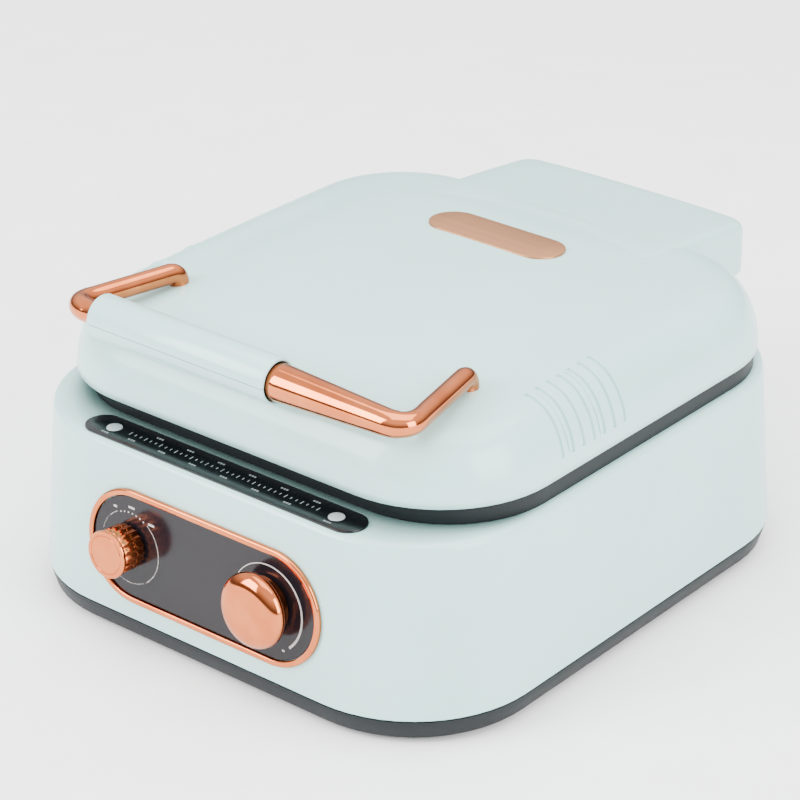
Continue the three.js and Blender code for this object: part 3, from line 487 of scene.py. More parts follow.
def mint_abs():
    """ABS, injection moulded and satin lacquered, which gives a soft broad highlight."""
    return surface("mint_satin_lacquered_abs", "a9d2ce", "a4ceca", roughness=0.3, spread=0.04,
                   grain=1.1, grain_height=0.012, cloud=60, ior=1.5, coat=0.25)


def slate_abs():
    """ABS moulded in a spark-eroded tool, which gives a dry fine grain."""
    return surface("slate_grained_abs", "14191c", "111517", roughness=0.5, spread=0.06,
                   grain=0.7, grain_height=0.03, cloud=25, ior=1.5, gloss_level=0.22)


def copper_plate():
    """Rose copper electroplated on polished parts, which gives crisp warm reflections."""
    return surface("rose_copper_plating", "cd7346", "c0663a", metallic=1.0, roughness=0.1,
                   spread=0.03, grain=2.0, grain_height=0.006, cloud=14)


def satin_copper():
    """Aluminium brushed and anodised in a copper tone, which gives a fine lengthwise line."""
    return surface("copper_anodised_brushed_aluminium", "ac7852", "a4704b", metallic=0.7,
                   roughness=0.42, spread=0.04, grain=0.5, grain_height=0.02, cloud=3,
                   stretch=(0.04, 1, 1))


def smoked_acrylic():
    """Smoked acrylic, polished, which gives a deep grey face with a clear gloss."""
    return surface("smoked_polished_acrylic", "1a161a", "151217", roughness=0.16, spread=0.03,
                   grain=3.0, grain_height=0.004, cloud=45, ior=1.49, gloss_level=0.25)


def black_acrylic():
    """Black acrylic, polished, which mirrors the light above it."""
    return surface("black_polished_acrylic", "0d1113", "090c0e", roughness=0.22, spread=0.04,
                   grain=3.0, grain_height=0.004, cloud=35, ior=1.49, gloss_level=0.35)


def lens_acrylic():
    """Milky acrylic, moulded, which gives a soft pale glow."""
    return surface("milky_moulded_acrylic", "98a0a0", "8b9494", roughness=0.25, spread=0.05,
                   grain=0.6, grain_height=0.01, cloud=4, ior=1.49, coat=0.4)


def dial_ink(name, colour, second):
    """Screen-printed ink, a thin raised film with a soft sheen."""
    return surface(name, colour, second, roughness=0.4, spread=0.06, grain=0.3,
                   grain_height=0.01, cloud=3)


def nonstick():
    """Cast aluminium under a sprayed non-stick coating, which gives a dark pebbled sheen."""
    return surface("sprayed_nonstick_on_cast_aluminium", "34353a", "26272a", metallic=0.25,
                   roughness=0.38, spread=0.08, grain=0.8, grain_height=0.05, cloud=9)


def steel():
    """Cold-rolled steel sheet, bare, which gives a streaked grey shine."""
    return surface("cold_rolled_steel", "b9bbbd", "a5a8ab", metallic=1.0, roughness=0.32,
                   spread=0.08, grain=0.6, grain_height=0.01, cloud=6, stretch=(0.1, 1, 1))


def ceramic():
    """Unglazed steatite ceramic, pressed and fired, which gives a dry chalky white."""
    return surface("fired_steatite_ceramic", "ece7dc", "ddd6c8", roughness=0.7, spread=0.08,
                   grain=0.4, grain_height=0.03, cloud=7)


def rubber():
    """Moulded rubber, which gives a dull dark skin."""
    return surface("moulded_black_rubber", "2b2d2e", "232526", roughness=0.75, spread=0.08,
                   grain=0.5, grain_height=0.04, cloud=6)


def phenolic():
    """Phenolic moulding compound, which gives a mottled brown-black."""
    return surface("moulded_phenolic", "2f2a26", "231f1c", roughness=0.45, spread=0.08,
                   grain=0.6, grain_height=0.02, cloud=3)


FINISH = {
    "mint_plastic": mint_abs(),
    "slate_plastic": slate_abs(),
    "copper_plated_steel": copper_plate(),
    "satin_copper": satin_copper(),
    "smoked_plastic": smoked_acrylic(),
    "black_gloss": black_acrylic(),
    "lamp_lens": lens_acrylic(),
    "nonstick_aluminium": nonstick(),
    "steel": steel(),
    "ceramic": ceramic(),
    "rubber": rubber(),
    "bakelite": phenolic(),
}
FINISH["copper_plated_plastic"] = FINISH["copper_plated_steel"]
INK = dial_ink("pale_screen_print_ink", "b4b2ae", "a5a3a0")
FAINT_INK = dial_ink("grey_screen_print_ink", "7d8687", "6f7879")


def dress_cad_nodes():
    """Gives every CAD node that stays in view its finish."""
    for part in frame["record"]["subparts"]:
        piece = frame["nodes"][part["node"]]
        piece.data.materials.clear()
        piece.data.materials.append(FINISH[part["material_slot"]])


# ------------------------------------------------------------------ base
def lean_walls(bm):
    """Narrows the base upwards from the seam, as its moulded walls lean."""
    for vert in bm.verts:
        rise = vert.co.z - SEAM_Z
        vert.co.x *= 1 - math.tan(SIDE_LEAN) * rise / BASE_HALF_WIDTH
        vert.co.y *= 1 - math.tan(FRONT_LEAN) * rise / BASE_HALF_DEPTH


def base_loop(bm, inset, z):
    """The base's outline, drawn in by an inset."""
    return loop(bm, BASE_HALF_WIDTH - inset, -BASE_HALF_DEPTH + inset, BASE_HALF_DEPTH - inset,
                BASE_CORNER - inset, z)


def deck_loop(bm, inset, z):
    """The deck's outline, drawn in by an inset."""
    return loop(bm, DECK_HALF_WIDTH - inset, DECK_FRONT + inset, DECK_REAR - inset,
                DECK_CORNER - inset, z)


def plate_loop(bm, inset, z, middle_y=PLATE_MIDDLE_Y):
    """A baking plate's outline, drawn in by an inset, or out where it is below zero."""
    return loop(bm, PLATE_HALF_WIDTH - inset, middle_y - PLATE_HALF_DEPTH + inset,
                middle_y + PLATE_HALF_DEPTH - inset, PLATE_CORNER - inset, z)


def make_housing():
    """The mint shell from the seam up to the ledge, with the deck's opening in the ledge."""
    bm = bmesh.new()
    foot_round = 0.6
    round_lead = 0.4
    loops = [base_loop(bm, foot_round, SEAM_Z)]
    low = SEAM_Z + foot_round
    high = LEDGE_Z - LEDGE_ROUND - round_lead
    for i in range(WALL_ROWS + 1):
        loops.append(base_loop(bm, 0, low + (high - low) * i / WALL_ROWS))
    for inward, down in quarter(6)[1:]:
        loops.append(base_loop(bm, LEDGE_ROUND * inward, LEDGE_Z - LEDGE_ROUND * down))
    loft(bm, loops)
    lean_walls(bm)
    hole = deck_loop(bm, SKIRT_INSET - GAP, LEDGE_Z)
    bmesh.ops.bridge_loops(bm, edges=loops[-1] + hole)
    make("mint_base_housing", bm, "base", "mint_plastic", ["base_housing"], shell=WALL)


def make_tray():
    """The slate tray, with its rim up round the housing's foot and slots through its floor."""
    bm = bmesh.new()
    low, high = TRAY_LOW.z, TRAY_HIGH.z
    foot_round = 0.8
    flare = 0.1
    outer = base_loop(bm, TRAY_INSET + foot_round, low)
    loft(bm, [
        outer,
        base_loop(bm, TRAY_INSET - flare, low + foot_round),
        base_loop(bm, TRAY_RIM_INSET, high - TRAY_RIM_BAND),
        base_loop(bm, TRAY_RIM_INSET, high),
        base_loop(bm, TRAY_WALL, high),
        base_loop(bm, TRAY_WALL, low + TRAY_FLOOR)])
    slots = []
    for i in range(-SLOTS_EACH_SIDE, SLOTS_EACH_SIDE + 1):
        slots += slot_loop(bm, i * SLOT_PITCH, low)
    holes = []
    for corner in CORNERS:
        screw_low, screw_high = box_mm("tray_screw_" + corner)
        middle = (screw_low + screw_high) / 2
        holes += ring(bm, SCREW_HOLE_RADIUS, low, 32, (middle.x, middle.y))
    floor = cap(bm, outer + slots + holes)
    raise_faces(bm, only(bmesh.types.BMFace, floor["geom"]), (0, 0, TRAY_FLOOR))
    make("slate_bottom_tray", bm, "base", "slate_plastic", ["bottom_tray"])


def slot_loop(bm, x, z):
    """The outline of one cooling slot, which runs front to rear at x."""
    edges = loop(bm, SLOT_HALF_WIDTH, -SLOT_HALF_LENGTH, SLOT_HALF_LENGTH, SLOT_CORNER, z, 4)
    verts = list({vert for edge in edges for vert in edge.verts})
    bmesh.ops.translate(bm, verts=verts, vec=(x, 0, 0))
    return edges


def make_deck():
    """The slate frame that holds the lower plate, with its skirt down inside the housing."""
    bm = bmesh.new()
    overhang_z = LEDGE_Z + 0.05
    seat_z = PLATE_LOW.z - GAP
    loops = [deck_loop(bm, SKIRT_INSET, DECK_LOW.z), deck_loop(bm, SKIRT_INSET, overhang_z),
             deck_loop(bm, 0, overhang_z)]
    for inward, down in quarter(4):
        loops.append(deck_loop(bm, DECK_EDGE * inward, DECK_TOP_Z - DECK_EDGE * down))
    loops += [plate_loop(bm, -PLATE_ROOM - POCKET_BEVEL, DECK_TOP_Z),
              plate_loop(bm, -PLATE_ROOM, DECK_TOP_Z - POCKET_BEVEL),
              plate_loop(bm, -PLATE_ROOM, seat_z), plate_loop(bm, LIP_WIDTH, seat_z),
              plate_loop(bm, LIP_WIDTH, DECK_LOW.z)]
    loft(bm, loops)
    bmesh.ops.bridge_loops(bm, edges=loops[0] + loops[-1])
    hinge = JOINTS["lid_hinge"]["pos_m"]
    for side in (-1, 1):
        lug(bm, side * LUG_X, (hinge[1] - MIDDLE_Y) / MM, hinge[2] / MM)
    make("slate_deck_frame", bm, "base", "slate_plastic", ["deck_frame"])


def lug(bm, x, hinge_y, hinge_z):
    """One hinge lug: a flat arm with a round eye at its end."""
    eye = bmesh.ops.create_circle(bm, radius=LUG_EYE_RADIUS, segments=40)["verts"]
    bmesh.ops.rotate(bm, verts=eye, matrix=Matrix.Rotation(math.radians(90), 3, "Y"))
    bmesh.ops.translate(bm, verts=eye, vec=(x - LUG_HALF_WIDTH, hinge_y, hinge_z))
    front_half = [vert for vert in eye if vert.co.y < hinge_y - 0.1]
    for vert in front_half:
        vert.co.y = DECK_REAR - LUG_ROOT
        vert.co.z = min(vert.co.z, DECK_TOP_Z - GAP)
    side = flat_face(bm, edges_of(eye))
    raise_faces(bm, [side], (2 * LUG_HALF_WIDTH, 0, 0))


# ------------------------------------------------------------------ baking plates
def make_plate(name, node_name, body, place):
    """A cast pan with a grid of tapered studs, drawn open side up about its own middle."""
    bm = bmesh.new()
    depth = PLATE_HIGH.z - PLATE_LOW.z
    foot_round, slope, fillet = 1, 1, 1.5
    rows = [(foot_round, 0), (0, foot_round), (0, depth - PLATE_EDGE), (PLATE_EDGE, depth),
            (PLATE_WALL - PLATE_EDGE, depth), (PLATE_WALL, depth - PLATE_EDGE),
            (PLATE_WALL + slope, PLATE_FLOOR + fillet), (PLATE_WALL + slope + fillet, PLATE_FLOOR)]
    loops = [plate_loop(bm, inset, z, 0) for inset, z in rows]
    loft(bm, loops)
    cap(bm, loops[0])
    cells = [flat_face(bm, loops[-1])]
    middle = (STUD_ROWS - 1) / 2
    places = [(i - middle) * STUD_PITCH for i in range(STUD_ROWS)]
    for axis in (0, 1):
        for stud in places:
            for side in (-1, 1):
                cells = cut_faces(bm, cells, axis, stud + side * STUD_SIZE / 2)
    studs = [cell for cell in cells if is_stud(cell, places)]
    bmesh.ops.inset_individual(bm, faces=studs, thickness=STUD_TAPER, depth=STUD_HEIGHT)
    rims = list({edge for face in studs for edge in face.edges})
    bmesh.ops.bevel(bm, geom=rims, offset=STUD_ROUND, segments=2, profile=0.5, affect="EDGES",
                    material=-1)
    make(name, bm, body, "nonstick_aluminium", [node_name], place=PLACE @ place)


def make_plates():
    """The lower plate lies open side up, and the upper one is turned over on it."""
    lower = Matrix.Translation((0, PLATE_MIDDLE_Y, PLATE_LOW.z))
    upper = Matrix.Translation((0, PLATE_MIDDLE_Y, UPPER_HIGH.z)) @ Matrix.Rotation(math.pi, 4, "X")
    make_plate("nonstick_lower_plate", "lower_plate", "base", lower)
    make_plate("nonstick_upper_plate", "upper_plate", "lid", upper)


def is_stud(cell, places):
    """True where a cell of the cut floor is one whole stud, clear of the corners."""
    spot = cell.calc_center_median()
    off = max(min(abs(place - value) for place in places) for value in (spot.x, spot.y))
    whole = abs(cell.calc_area() - STUD_SIZE ** 2) < 0.5
    return whole and off < 0.5 and clear_of_corners(spot)


def clear_of_corners(spot):
    """True where a stud stands clear of the plate's rounded corners."""
    reach = [max(abs(value) + STUD_SIZE / 2 - (half - PLATE_CORNER), 0)
             for value, half in ((spot.x, PLATE_HALF_WIDTH), (spot.y, PLATE_HALF_DEPTH))]
    return math.hypot(*reach) < PLATE_CORNER - PLATE_WALL - 1


# ------------------------------------------------------------------ lid
def crown(x, y):
    """Height of the slightly spherical top above the rim."""
    fall = (x ** 2 + (y - CROWN_MIDDLE_Y) ** 2) / (2 * CROWN_RADIUS)
    return LID_TOP_Z - RIM_Z - fall


def soft_least(a, b, width):
    """The smaller of two heights, with the corner between them eased over a width."""
    share = max(width - abs(a - b), 0) / width
    return min(a, b) - share ** 3 * width / 6


def lid_loop(bm, inset, z):
    """The lid's outline, drawn in by an inset."""
    return loop(bm, LID_HALF_WIDTH - inset, LID_FRONT + inset, LID_REAR - inset,
                LID_CORNER - inset, z)


def shoulder_height(inset):
    """Height of the rounded shoulder above the rim, which goes on rising past its end."""
    across = max(SHOULDER - inset, 0) / SHOULDER
    height = SHOULDER_RISE * math.sqrt(max(1 - across ** 2, 0))
    past = max(inset - SHOULDER, 0)
    return height + past ** 2 / 60


def lid_inset(x, y):
    """How far in from the lid's outline a point lies."""
    middle_y, half_depth = (LID_FRONT + LID_REAR) / 2, (LID_REAR - LID_FRONT) / 2
    past_x = abs(x) - (LID_HALF_WIDTH - LID_CORNER)
    past_y = abs(y - middle_y) - (half_depth - LID_CORNER)
    out = math.hypot(max(past_x, 0), max(past_y, 0)) + min(max(past_x, past_y), 0)
    return LID_CORNER - out


def make_lid():
    """The domed cover: flat rows inside its outline, raised by one height formula."""
    bm = bmesh.new()
    insets = [0, 0.12, 0.35, VENT_FOOT, 1.1, 1.8, 2.7, 3.8, 5.2, 6.8, 8.6, 10.6, 12.8, 15.2, 17.4,
              VENT_HEAD, 21.5, 23.5, 25.5, 27.5, 29.5, 32, 34.5, 37, 39.5, 42.5, 46, 50]
    across_step, along_step, each_side = 9.6, 10, 6
    lid_rows = [lid_loop(bm, inset, RIM_Z + inset) for inset in insets]
    loft(bm, lid_rows)
    flat_face(bm, lid_rows[-1])
    for i in range(-each_side, each_side + 1):
        cut_faces(bm, bm.faces[:], 0, across_step * i)
        cut_faces(bm, bm.faces[:], 1, CROWN_MIDDLE_Y + along_step * i)
    for vert in bm.verts:
        inset = max(lid_inset(vert.co.x, vert.co.y), 0)
        height = soft_least(shoulder_height(inset), crown(vert.co.x, vert.co.y), CROWN_BLEND)
        vert.co.z = RIM_Z + max(height, 0)
    sink_vents(bm)
    way = [face for face in bm.faces if in_block_mouth(face.calc_center_median())]
    bmesh.ops.delete(bm, geom=way, context="FACES")
    make("mint_lid_cover", bm, "lid", "mint_plastic", ["lid_cover"], shell=WALL, smooth=40)


def in_block_mouth(spot):
    """True in the part of the lid's rear wall that is open into the hinge block."""
    return (abs(spot.x) < BLOCK_MOUTH_HALF_WIDTH and spot.y > LID_REAR - BLOCK_MOUTH_DEPTH
            and spot.z < RIM_Z + BLOCK_MOUTH_HEIGHT)


def on_side(face):
    """True on the part of the shoulders that the vents may cross."""
    spot = face.calc_center_median()
    return abs(spot.x) > LID_HALF_WIDTH - VENT_HEAD and abs(spot.y - CROWN_MIDDLE_Y) < 75


def in_vent(face, side, row):
    """True inside the vent at y = row on one side of the lid."""
    spot = face.calc_center_median()
    return (abs(spot.y - row) < VENT_WIDTH / 2
            and LID_HALF_WIDTH - VENT_HEAD < side * spot.x < LID_HALF_WIDTH
            and spot.z > RIM_Z + shoulder_height(VENT_FOOT))


def sink_vents(bm):
    """Sinks the row of grooves into each shoulder."""
    rows = [VENT_MIDDLE_Y + (i - (VENTS - 1) / 2) * VENT_PITCH for i in range(VENTS)]
    for row in rows:
        for edge in (-1, 1):
            sides = [face for face in bm.faces if on_side(face)]
            cut_faces(bm, sides, 1, row + edge * VENT_WIDTH / 2)
    for row in rows:
        for side in (-1, 1):
            groove = [face for face in bm.faces if in_vent(face, side, row)]
            bmesh.ops.recalc_face_normals(bm, faces=bm.faces)
            bmesh.ops.inset_region(bm, faces=groove, thickness=VENT_TAPER, depth=-VENT_DEPTH,
                                   use_even_offset=True)


def block_top(x, y):
    """Height of the block above the rim: level with the crown, then falling to the rear."""
    proud, blend = 0.3, 2
    along = max(y - BLOCK_FALL_START, 0) / (BLOCK_REAR - BLOCK_FALL_START)
    return soft_least(BLOCK_TOP - BLOCK_FALL * along, crown(x, y) + proud, blend)


def block_loop(bm, inset, z):
    """The hinge block's outline, with its front end inside the lid."""
    return loop(bm, BLOCK_HALF_WIDTH - inset, BLOCK_FRONT, BLOCK_REAR - inset,
                BLOCK_CORNER - inset, z, 10)


def make_hinge_block():
    """The block over the hinge, which runs out of the lid's rear edge."""
    bm = bmesh.new()
    middle_z = RIM_Z + BLOCK_TOP / 2
    cuts = 12
    buried_y, buried_z = LID_REAR - 12, RIM_Z + 24
    loops = [block_loop(bm, inset, RIM_Z + rise) for inset, rise in ((1, 0), (0.3, 0.3), (0, 1))]
    loops.append(block_loop(bm, 0, middle_z))
    for inward, down in quarter(6):
        loops.append(block_loop(bm, BLOCK_ROUND * inward, RIM_Z + BLOCK_TOP - BLOCK_ROUND * down))
    loft(bm, loops)
    flat_face(bm, loops[-1])
    for axis, low, high in ((0, -48, 48), (1, BLOCK_FRONT + 4, BLOCK_REAR - 10)):
        for i in range(cuts + 1):
            cut_faces(bm, bm.faces[:], axis, low + (high - low) * i / cuts)
    for vert in bm.verts:
        if vert.co.z > middle_z + 1:
            vert.co.z -= BLOCK_TOP - block_top(vert.co.x, vert.co.y)
    cut_faces(bm, bm.faces[:], 1, buried_y)
    cut_faces(bm, bm.faces[:], 2, buried_z)
    spots = [(face, face.calc_center_median()) for face in bm.faces]
    buried = [face for face, spot in spots if spot.y < buried_y and spot.z < buried_z]
    bmesh.ops.delete(bm, geom=buried, context="FACES")
    make("mint_hinge_block", bm, "lid", "mint_plastic", shell=WALL)

def make_liner():
    """The slate frame in the lid, with the upper plate's pocket."""
    bm = bmesh.new()
    low = LINER_LOW.z
    rim_bevel = 0.4
    outside = WALL + GAP
    seat_z = UPPER_HIGH.z + GAP
    loops = [lid_loop(bm, outside, low + LINER_HEIGHT), lid_loop(bm, outside, low + rim_bevel),
             lid_loop(bm, outside + rim_bevel, low),
             plate_loop(bm, -PLATE_ROOM - POCKET_BEVEL, low),
             plate_loop(bm, -PLATE_ROOM, low + POCKET_BEVEL), plate_loop(bm, -PLATE_ROOM, seat_z),
             plate_loop(bm, LIP_WIDTH, seat_z), plate_loop(bm, LIP_WIDTH, seat_z + LINER_POCKET),
             plate_loop(bm, -LINER_POCKET_WALL, seat_z + LINER_POCKET),
             plate_loop(bm, -LINER_POCKET_WALL, low + LINER_HEIGHT)]
    loft(bm, loops)
    bmesh.ops.bridge_loops(bm, edges=loops[0] + loops[-1])
    make("slate_lid_liner", bm, "lid", "slate_plastic", ["lid_liner"])


def make_badge():
    """A plain plate with round ends, let into the crown and leaning with it."""
    bm = bmesh.new()
    half, radius = 21.7, 11.5
    rows = [(0, -1.2), (0, 0.1), (0.1, 0.3), (0.35, 0.4)]
    loops = [stadium(bm, half, radius - inset, z) for inset, z in rows]
    loft(bm, loops)
    cap(bm, loops[0])
    cap(bm, loops[-1])
    middle_y = (BADGE_LOW.y + BADGE_HIGH.y) / 2
    tilt = -math.asin((middle_y - CROWN_MIDDLE_Y) / CROWN_RADIUS)
    place = Matrix.Translation((0, middle_y, RIM_Z + crown(0, middle_y))) @ Matrix.Rotation(
        tilt, 4, "X")
    make("copper_lid_badge", bm, "lid", "satin_copper", ["lid_badge"], place=PLACE @ place)


# ------------------------------------------------------------------ handle
def rounded_line(corners, reaches, steps=10):
    """Points along straight runs, each inner corner eased from its reach away."""
    points = [corners[0]]
    for i, reach in enumerate(reaches, 1):
        corner = corners[i]
        before = corner + (corners[i - 1] - corner).normalized() * reach
        after = corner + (corners[i + 1] - corner).normalized() * reach
        for k in range(steps + 1):
            t = k / steps
            points.append(before * (1 - t) ** 2 + corner * 2 * t * (1 - t) + after * t ** 2)
    points.append(corners[-1])
    return points


def along_run(points, spacing):
    """The same line with more points on its long straight runs."""
    dense = [points[0]]
    for point in points[1:]:
        step = point - dense[-1]
        count = max(1, int(step.length / spacing))
        dense += [dense[-1] + step * (k + 1) / count for k in range(count)]
    return dense


def bar_radius(point):
    """The bar's radius: thin in the arms and in the grip, swelling to the sleeve at its right."""
    arm_start, arm_end = BAR_Y + 1, BAR_Y + 11
    if point.y > arm_end:
        return ARM_RADIUS
    if point.y > arm_start:
        share = (arm_end - point.y) / (arm_end - arm_start)
        return ARM_RADIUS + (BEND_RADIUS - ARM_RADIUS) * share
    if point.x > GRIP_HIGH.x - 2:
        share = min(max((point.x - GRIP_HIGH.x) / (BEND_X - GRIP_HIGH.x), 0), 1)
        return SLEEVE_RADIUS + (BEND_RADIUS - SLEEVE_RADIUS) * share
    return BEND_RADIUS if point.x < GRIP_LOW.x - 1 else CORE_RADIUS


def make_handle():
    """The bent bar, and the round grip in two halves on it."""
    bm = bmesh.new()
    low = BAR_LOW.z
    x, y = ARM_END
    foot_bend, spacing = 5, 3
    corners = [Vector(c) for c in (
        (-x, y, low), (-x, y, BAR_Z), (-BEND_X, BAR_Y, BAR_Z), (BEND_X, BAR_Y, BAR_Z),
        (x, y, BAR_Z), (x, y, low))]
    line = rounded_line(corners, [foot_bend, ARM_BEND, ARM_BEND, foot_bend])
    points = along_run(line, spacing)
    sweep(bm, points, [bar_radius(point) for point in points])
    make("copper_handle_bar", bm, "lid", "copper_plated_steel", ["handle_bar"], smooth=50)
    make_grip_half("mint_grip_upper", "grip_upper_half", 0)
    make_grip_half("mint_grip_lower", "grip_lower_half", 180)


def make_grip_half(name, node_name, start):
    """Half of the round sleeve, split level with the bar; its wide bore takes the bar's swell."""
    bm = bmesh.new()
    length = GRIP_HIGH.x - GRIP_LOW.x
    bore, wide_bore, wide_length = CORE_RADIUS + GAP, SLEEVE_RADIUS + GAP, 10
    edge, crest, inner_edge, mouth = 0.7, 0.2, 0.6, 0.4
    profile = [(bore, inner_edge), (bore + inner_edge, 0), (GRIP_RADIUS - edge, 0),
               (GRIP_RADIUS - crest, crest), (GRIP_RADIUS, edge), (GRIP_RADIUS, length - edge),
               (GRIP_RADIUS - crest, length - crest), (GRIP_RADIUS - edge, length),
               (wide_bore + mouth, length), (wide_bore, length - mouth),
               (wide_bore, length - wide_length), (bore, length - wide_length)]
    verts = [bm.verts.new((radius, 0, z)) for radius, z in profile]
    face = bm.faces.new(verts)
    seam = GAP / 2 / GRIP_RADIUS
    bmesh.ops.rotate(bm, verts=verts, matrix=Matrix.Rotation(seam, 3, "Z"))
    bmesh.ops.spin(bm, geom=[face], cent=(0, 0, 0), axis=(0, 0, 1), angle=math.pi - 2 * seam,
                   steps=30)
    lie = Matrix.Rotation(math.radians(90), 4, "Y") @ Matrix.Rotation(
        math.radians(start + 90), 4, "Z")
    place = Matrix.Translation((GRIP_LOW.x, BAR_Y, BAR_Z)) @ lie
    make(name, bm, "lid", "mint_plastic", [node_name], place=PLACE @ place)


# ------------------------------------------------------------------ control panel
def panel_place(x):
    """The wall's frame at a dial's middle: X along, Y up the wall, Z straight out of it."""
    joint = JOINTS["timer_turn"]
    out = -Vector(joint["axis"])
    along = Vector((1, 0, 0))
    up = out.cross(along)
    origin = Vector(joint["pos_m"])
    origin.x = x * MM
    turn = Matrix((along, up, out)).transposed().to_4x4()
    return Matrix.Translation(origin) @ turn @ Matrix.Scale(MM, 4)


TIMER_X = JOINTS["timer_turn"]["pos_m"][0] / MM
DIAL_X = JOINTS["temperature_turn"]["pos_m"][0] / MM


def make_trim(place):
    """The copper ring round the panel, rounded on both its edges."""
    bm = bmesh.new()
    half, outer, inner = PANEL_HALF_LENGTH, PANEL_RADIUS, PANEL_RADIUS - TRIM_WIDTH
    loops = [stadium(bm, half, outer, GAP)]
    for inward, down in quarter(5):
        loops.append(stadium(bm, half, outer - TRIM_EDGE * inward, TRIM_PROUD - TRIM_EDGE * down))
    for down, outward in quarter(4):
        loops.append(stadium(bm, half, inner + TRIM_INNER_EDGE * outward,
                             TRIM_PROUD - TRIM_INNER_EDGE * down))
    loops.append(stadium(bm, half, inner, GAP))
    loft(bm, loops)
    bmesh.ops.bridge_loops(bm, edges=loops[0] + loops[-1])
    make("copper_panel_trim", bm, "base", "copper_plated_plastic", ["panel_trim"], place=place)


def make_panel_face(place):
    """The smoked plate inside the ring."""
    bm = bmesh.new()
    half, radius = PANEL_HALF_LENGTH, PANEL_RADIUS - TRIM_WIDTH - GAP
    bevel = 0.2
    loops = [stadium(bm, half, radius, FACE_PROUD - FACE_THICKNESS),
             stadium(bm, half, radius, FACE_PROUD - bevel),
             stadium(bm, half, radius - bevel, FACE_PROUD)]
    loft(bm, loops)
    cap(bm, loops[0])
    cap(bm, loops[-1])
    make("smoked_panel_face", bm, "base", "smoked_plastic", ["panel_face"], place=place)


def make_panel():
    wall = panel_place(0) @ Matrix.Translation((0, -KNOB_RISE, 0))
    make_trim(wall)
    make_panel_face(wall)


def mark_dot(bm, x, y, radius, z):
    """A round raised dot of ink."""
    low = ring(bm, radius, z, 20, (x, y))
    high = ring(bm, radius * 0.9, z + MARK_HEIGHT, 20, (x, y))
    loft(bm, [low, high])
    cap(bm, high)
    cap(bm, low)


def mark_dash(bm, x, y, length, width, z):
    """A straight raised bar of ink, about its middle."""
    made = bmesh.ops.create_cube(bm, size=1)["verts"]
    bmesh.ops.scale(bm, verts=made, vec=(length, width, MARK_HEIGHT))
    bmesh.ops.translate(bm, verts=made, vec=(x, y, z + MARK_HEIGHT / 2))


def mark_word(bm, x, y, z):
    """Three small blocks in a row, a plain mark that spells nothing."""
    pitch, size = 1.3, 0.8
    for i in (-1, 0, 1):
        mark_dash(bm, x + pitch * i, y, size, size, z)


def mark_arc(bm, radius, start, end, thin, thick, z):
    """A flat scale line that grows from thin to thick as it goes round clockwise."""
    inner = bm.verts.new((radius, 0, z))
    outer = bm.verts.new((radius + thin, 0, z))
    edge = bm.edges.new((inner, outer))
    bmesh.ops.rotate(bm, verts=[inner, outer], matrix=Matrix.Rotation(start, 3, "Z"))
    bmesh.ops.spin(bm, geom=[inner, outer, edge], cent=(0, 0, 0), axis=(0, 0, 1),
                   angle=end - start, steps=48)
    for vert in bm.verts:
        if vert.co.xy.length > radius + thin / 2:
            turn = math.atan2(vert.co.y, vert.co.x)
            share = ((start - turn) % (2 * math.pi)) / abs(end - start)
            size = radius + thin + (thick - thin) * share
            vert.co.xy = Vector((math.cos(turn), math.sin(turn))) * size


def polar(radius, degrees):
    """A point at a distance and an angle from a dial's middle."""
    turn = math.radians(degrees)
    return radius * math.cos(turn), radius * math.sin(turn)


def make_timer_marks():
    """Raised dots over the knob and dashes outside them, with two flat arcs round the rest."""
    z = FACE_PROUD
    radius = TIMER_SCALE_RADIUS
    dots, first_dot, dot_step, dot_radius = 7, 62, 8, 0.38
    dash_out, dash_width, line = 2.4, 0.9, 0.45
    place = panel_place(TIMER_X) @ Matrix.Translation((0, -SCALE_DROP, 0))
    bm = bmesh.new()
    for i in range(dots):
        mark_dot(bm, *polar(radius, first_dot + dot_step * i), dot_radius, z)
    for degrees, length in ((118, 1.8), (88, 3.2), (50, 3.2)):
        mark_dash(bm, *polar(radius + dash_out, degrees), length, dash_width, z)
    make("timer_scale_dots", bm, "base", "lamp_lens", place=place, material=INK)
    for number, start, end in ((1, 54, -118), (2, 166, 118)):
        bm = bmesh.new()
        mark_arc(bm, radius, math.radians(start), math.radians(end), line, line, z)
        make("timer_scale_arc_%d" % number, bm, "base", "lamp_lens", place=place, material=INK)


def make_temperature_marks():
    """A raised line that thickens clockwise round the dial, and a dash past each end."""
    z = FACE_PROUD
    radius = TEMPERATURE_SCALE_RADIUS
    thin, thick = 0.3, 1
    dash_out, dash_length, dash_width = 0.6, 1.2, 0.8
    place = panel_place(DIAL_X) @ Matrix.Translation((0, -SCALE_DROP, 0))
    bm = bmesh.new()
    mark_arc(bm, radius, math.radians(150), math.radians(-48), thin, thick, z)
    raise_faces(bm, bm.faces[:], (0, 0, MARK_HEIGHT))
    make("temperature_scale_arc", bm, "base", "lamp_lens", place=place, material=INK)
    bm = bmesh.new()
    for degrees in (163, -60):
        mark_dash(bm, *polar(radius + dash_out, degrees), dash_length, dash_width, z)
    make("temperature_scale_marks", bm, "base", "lamp_lens", place=place, material=INK)


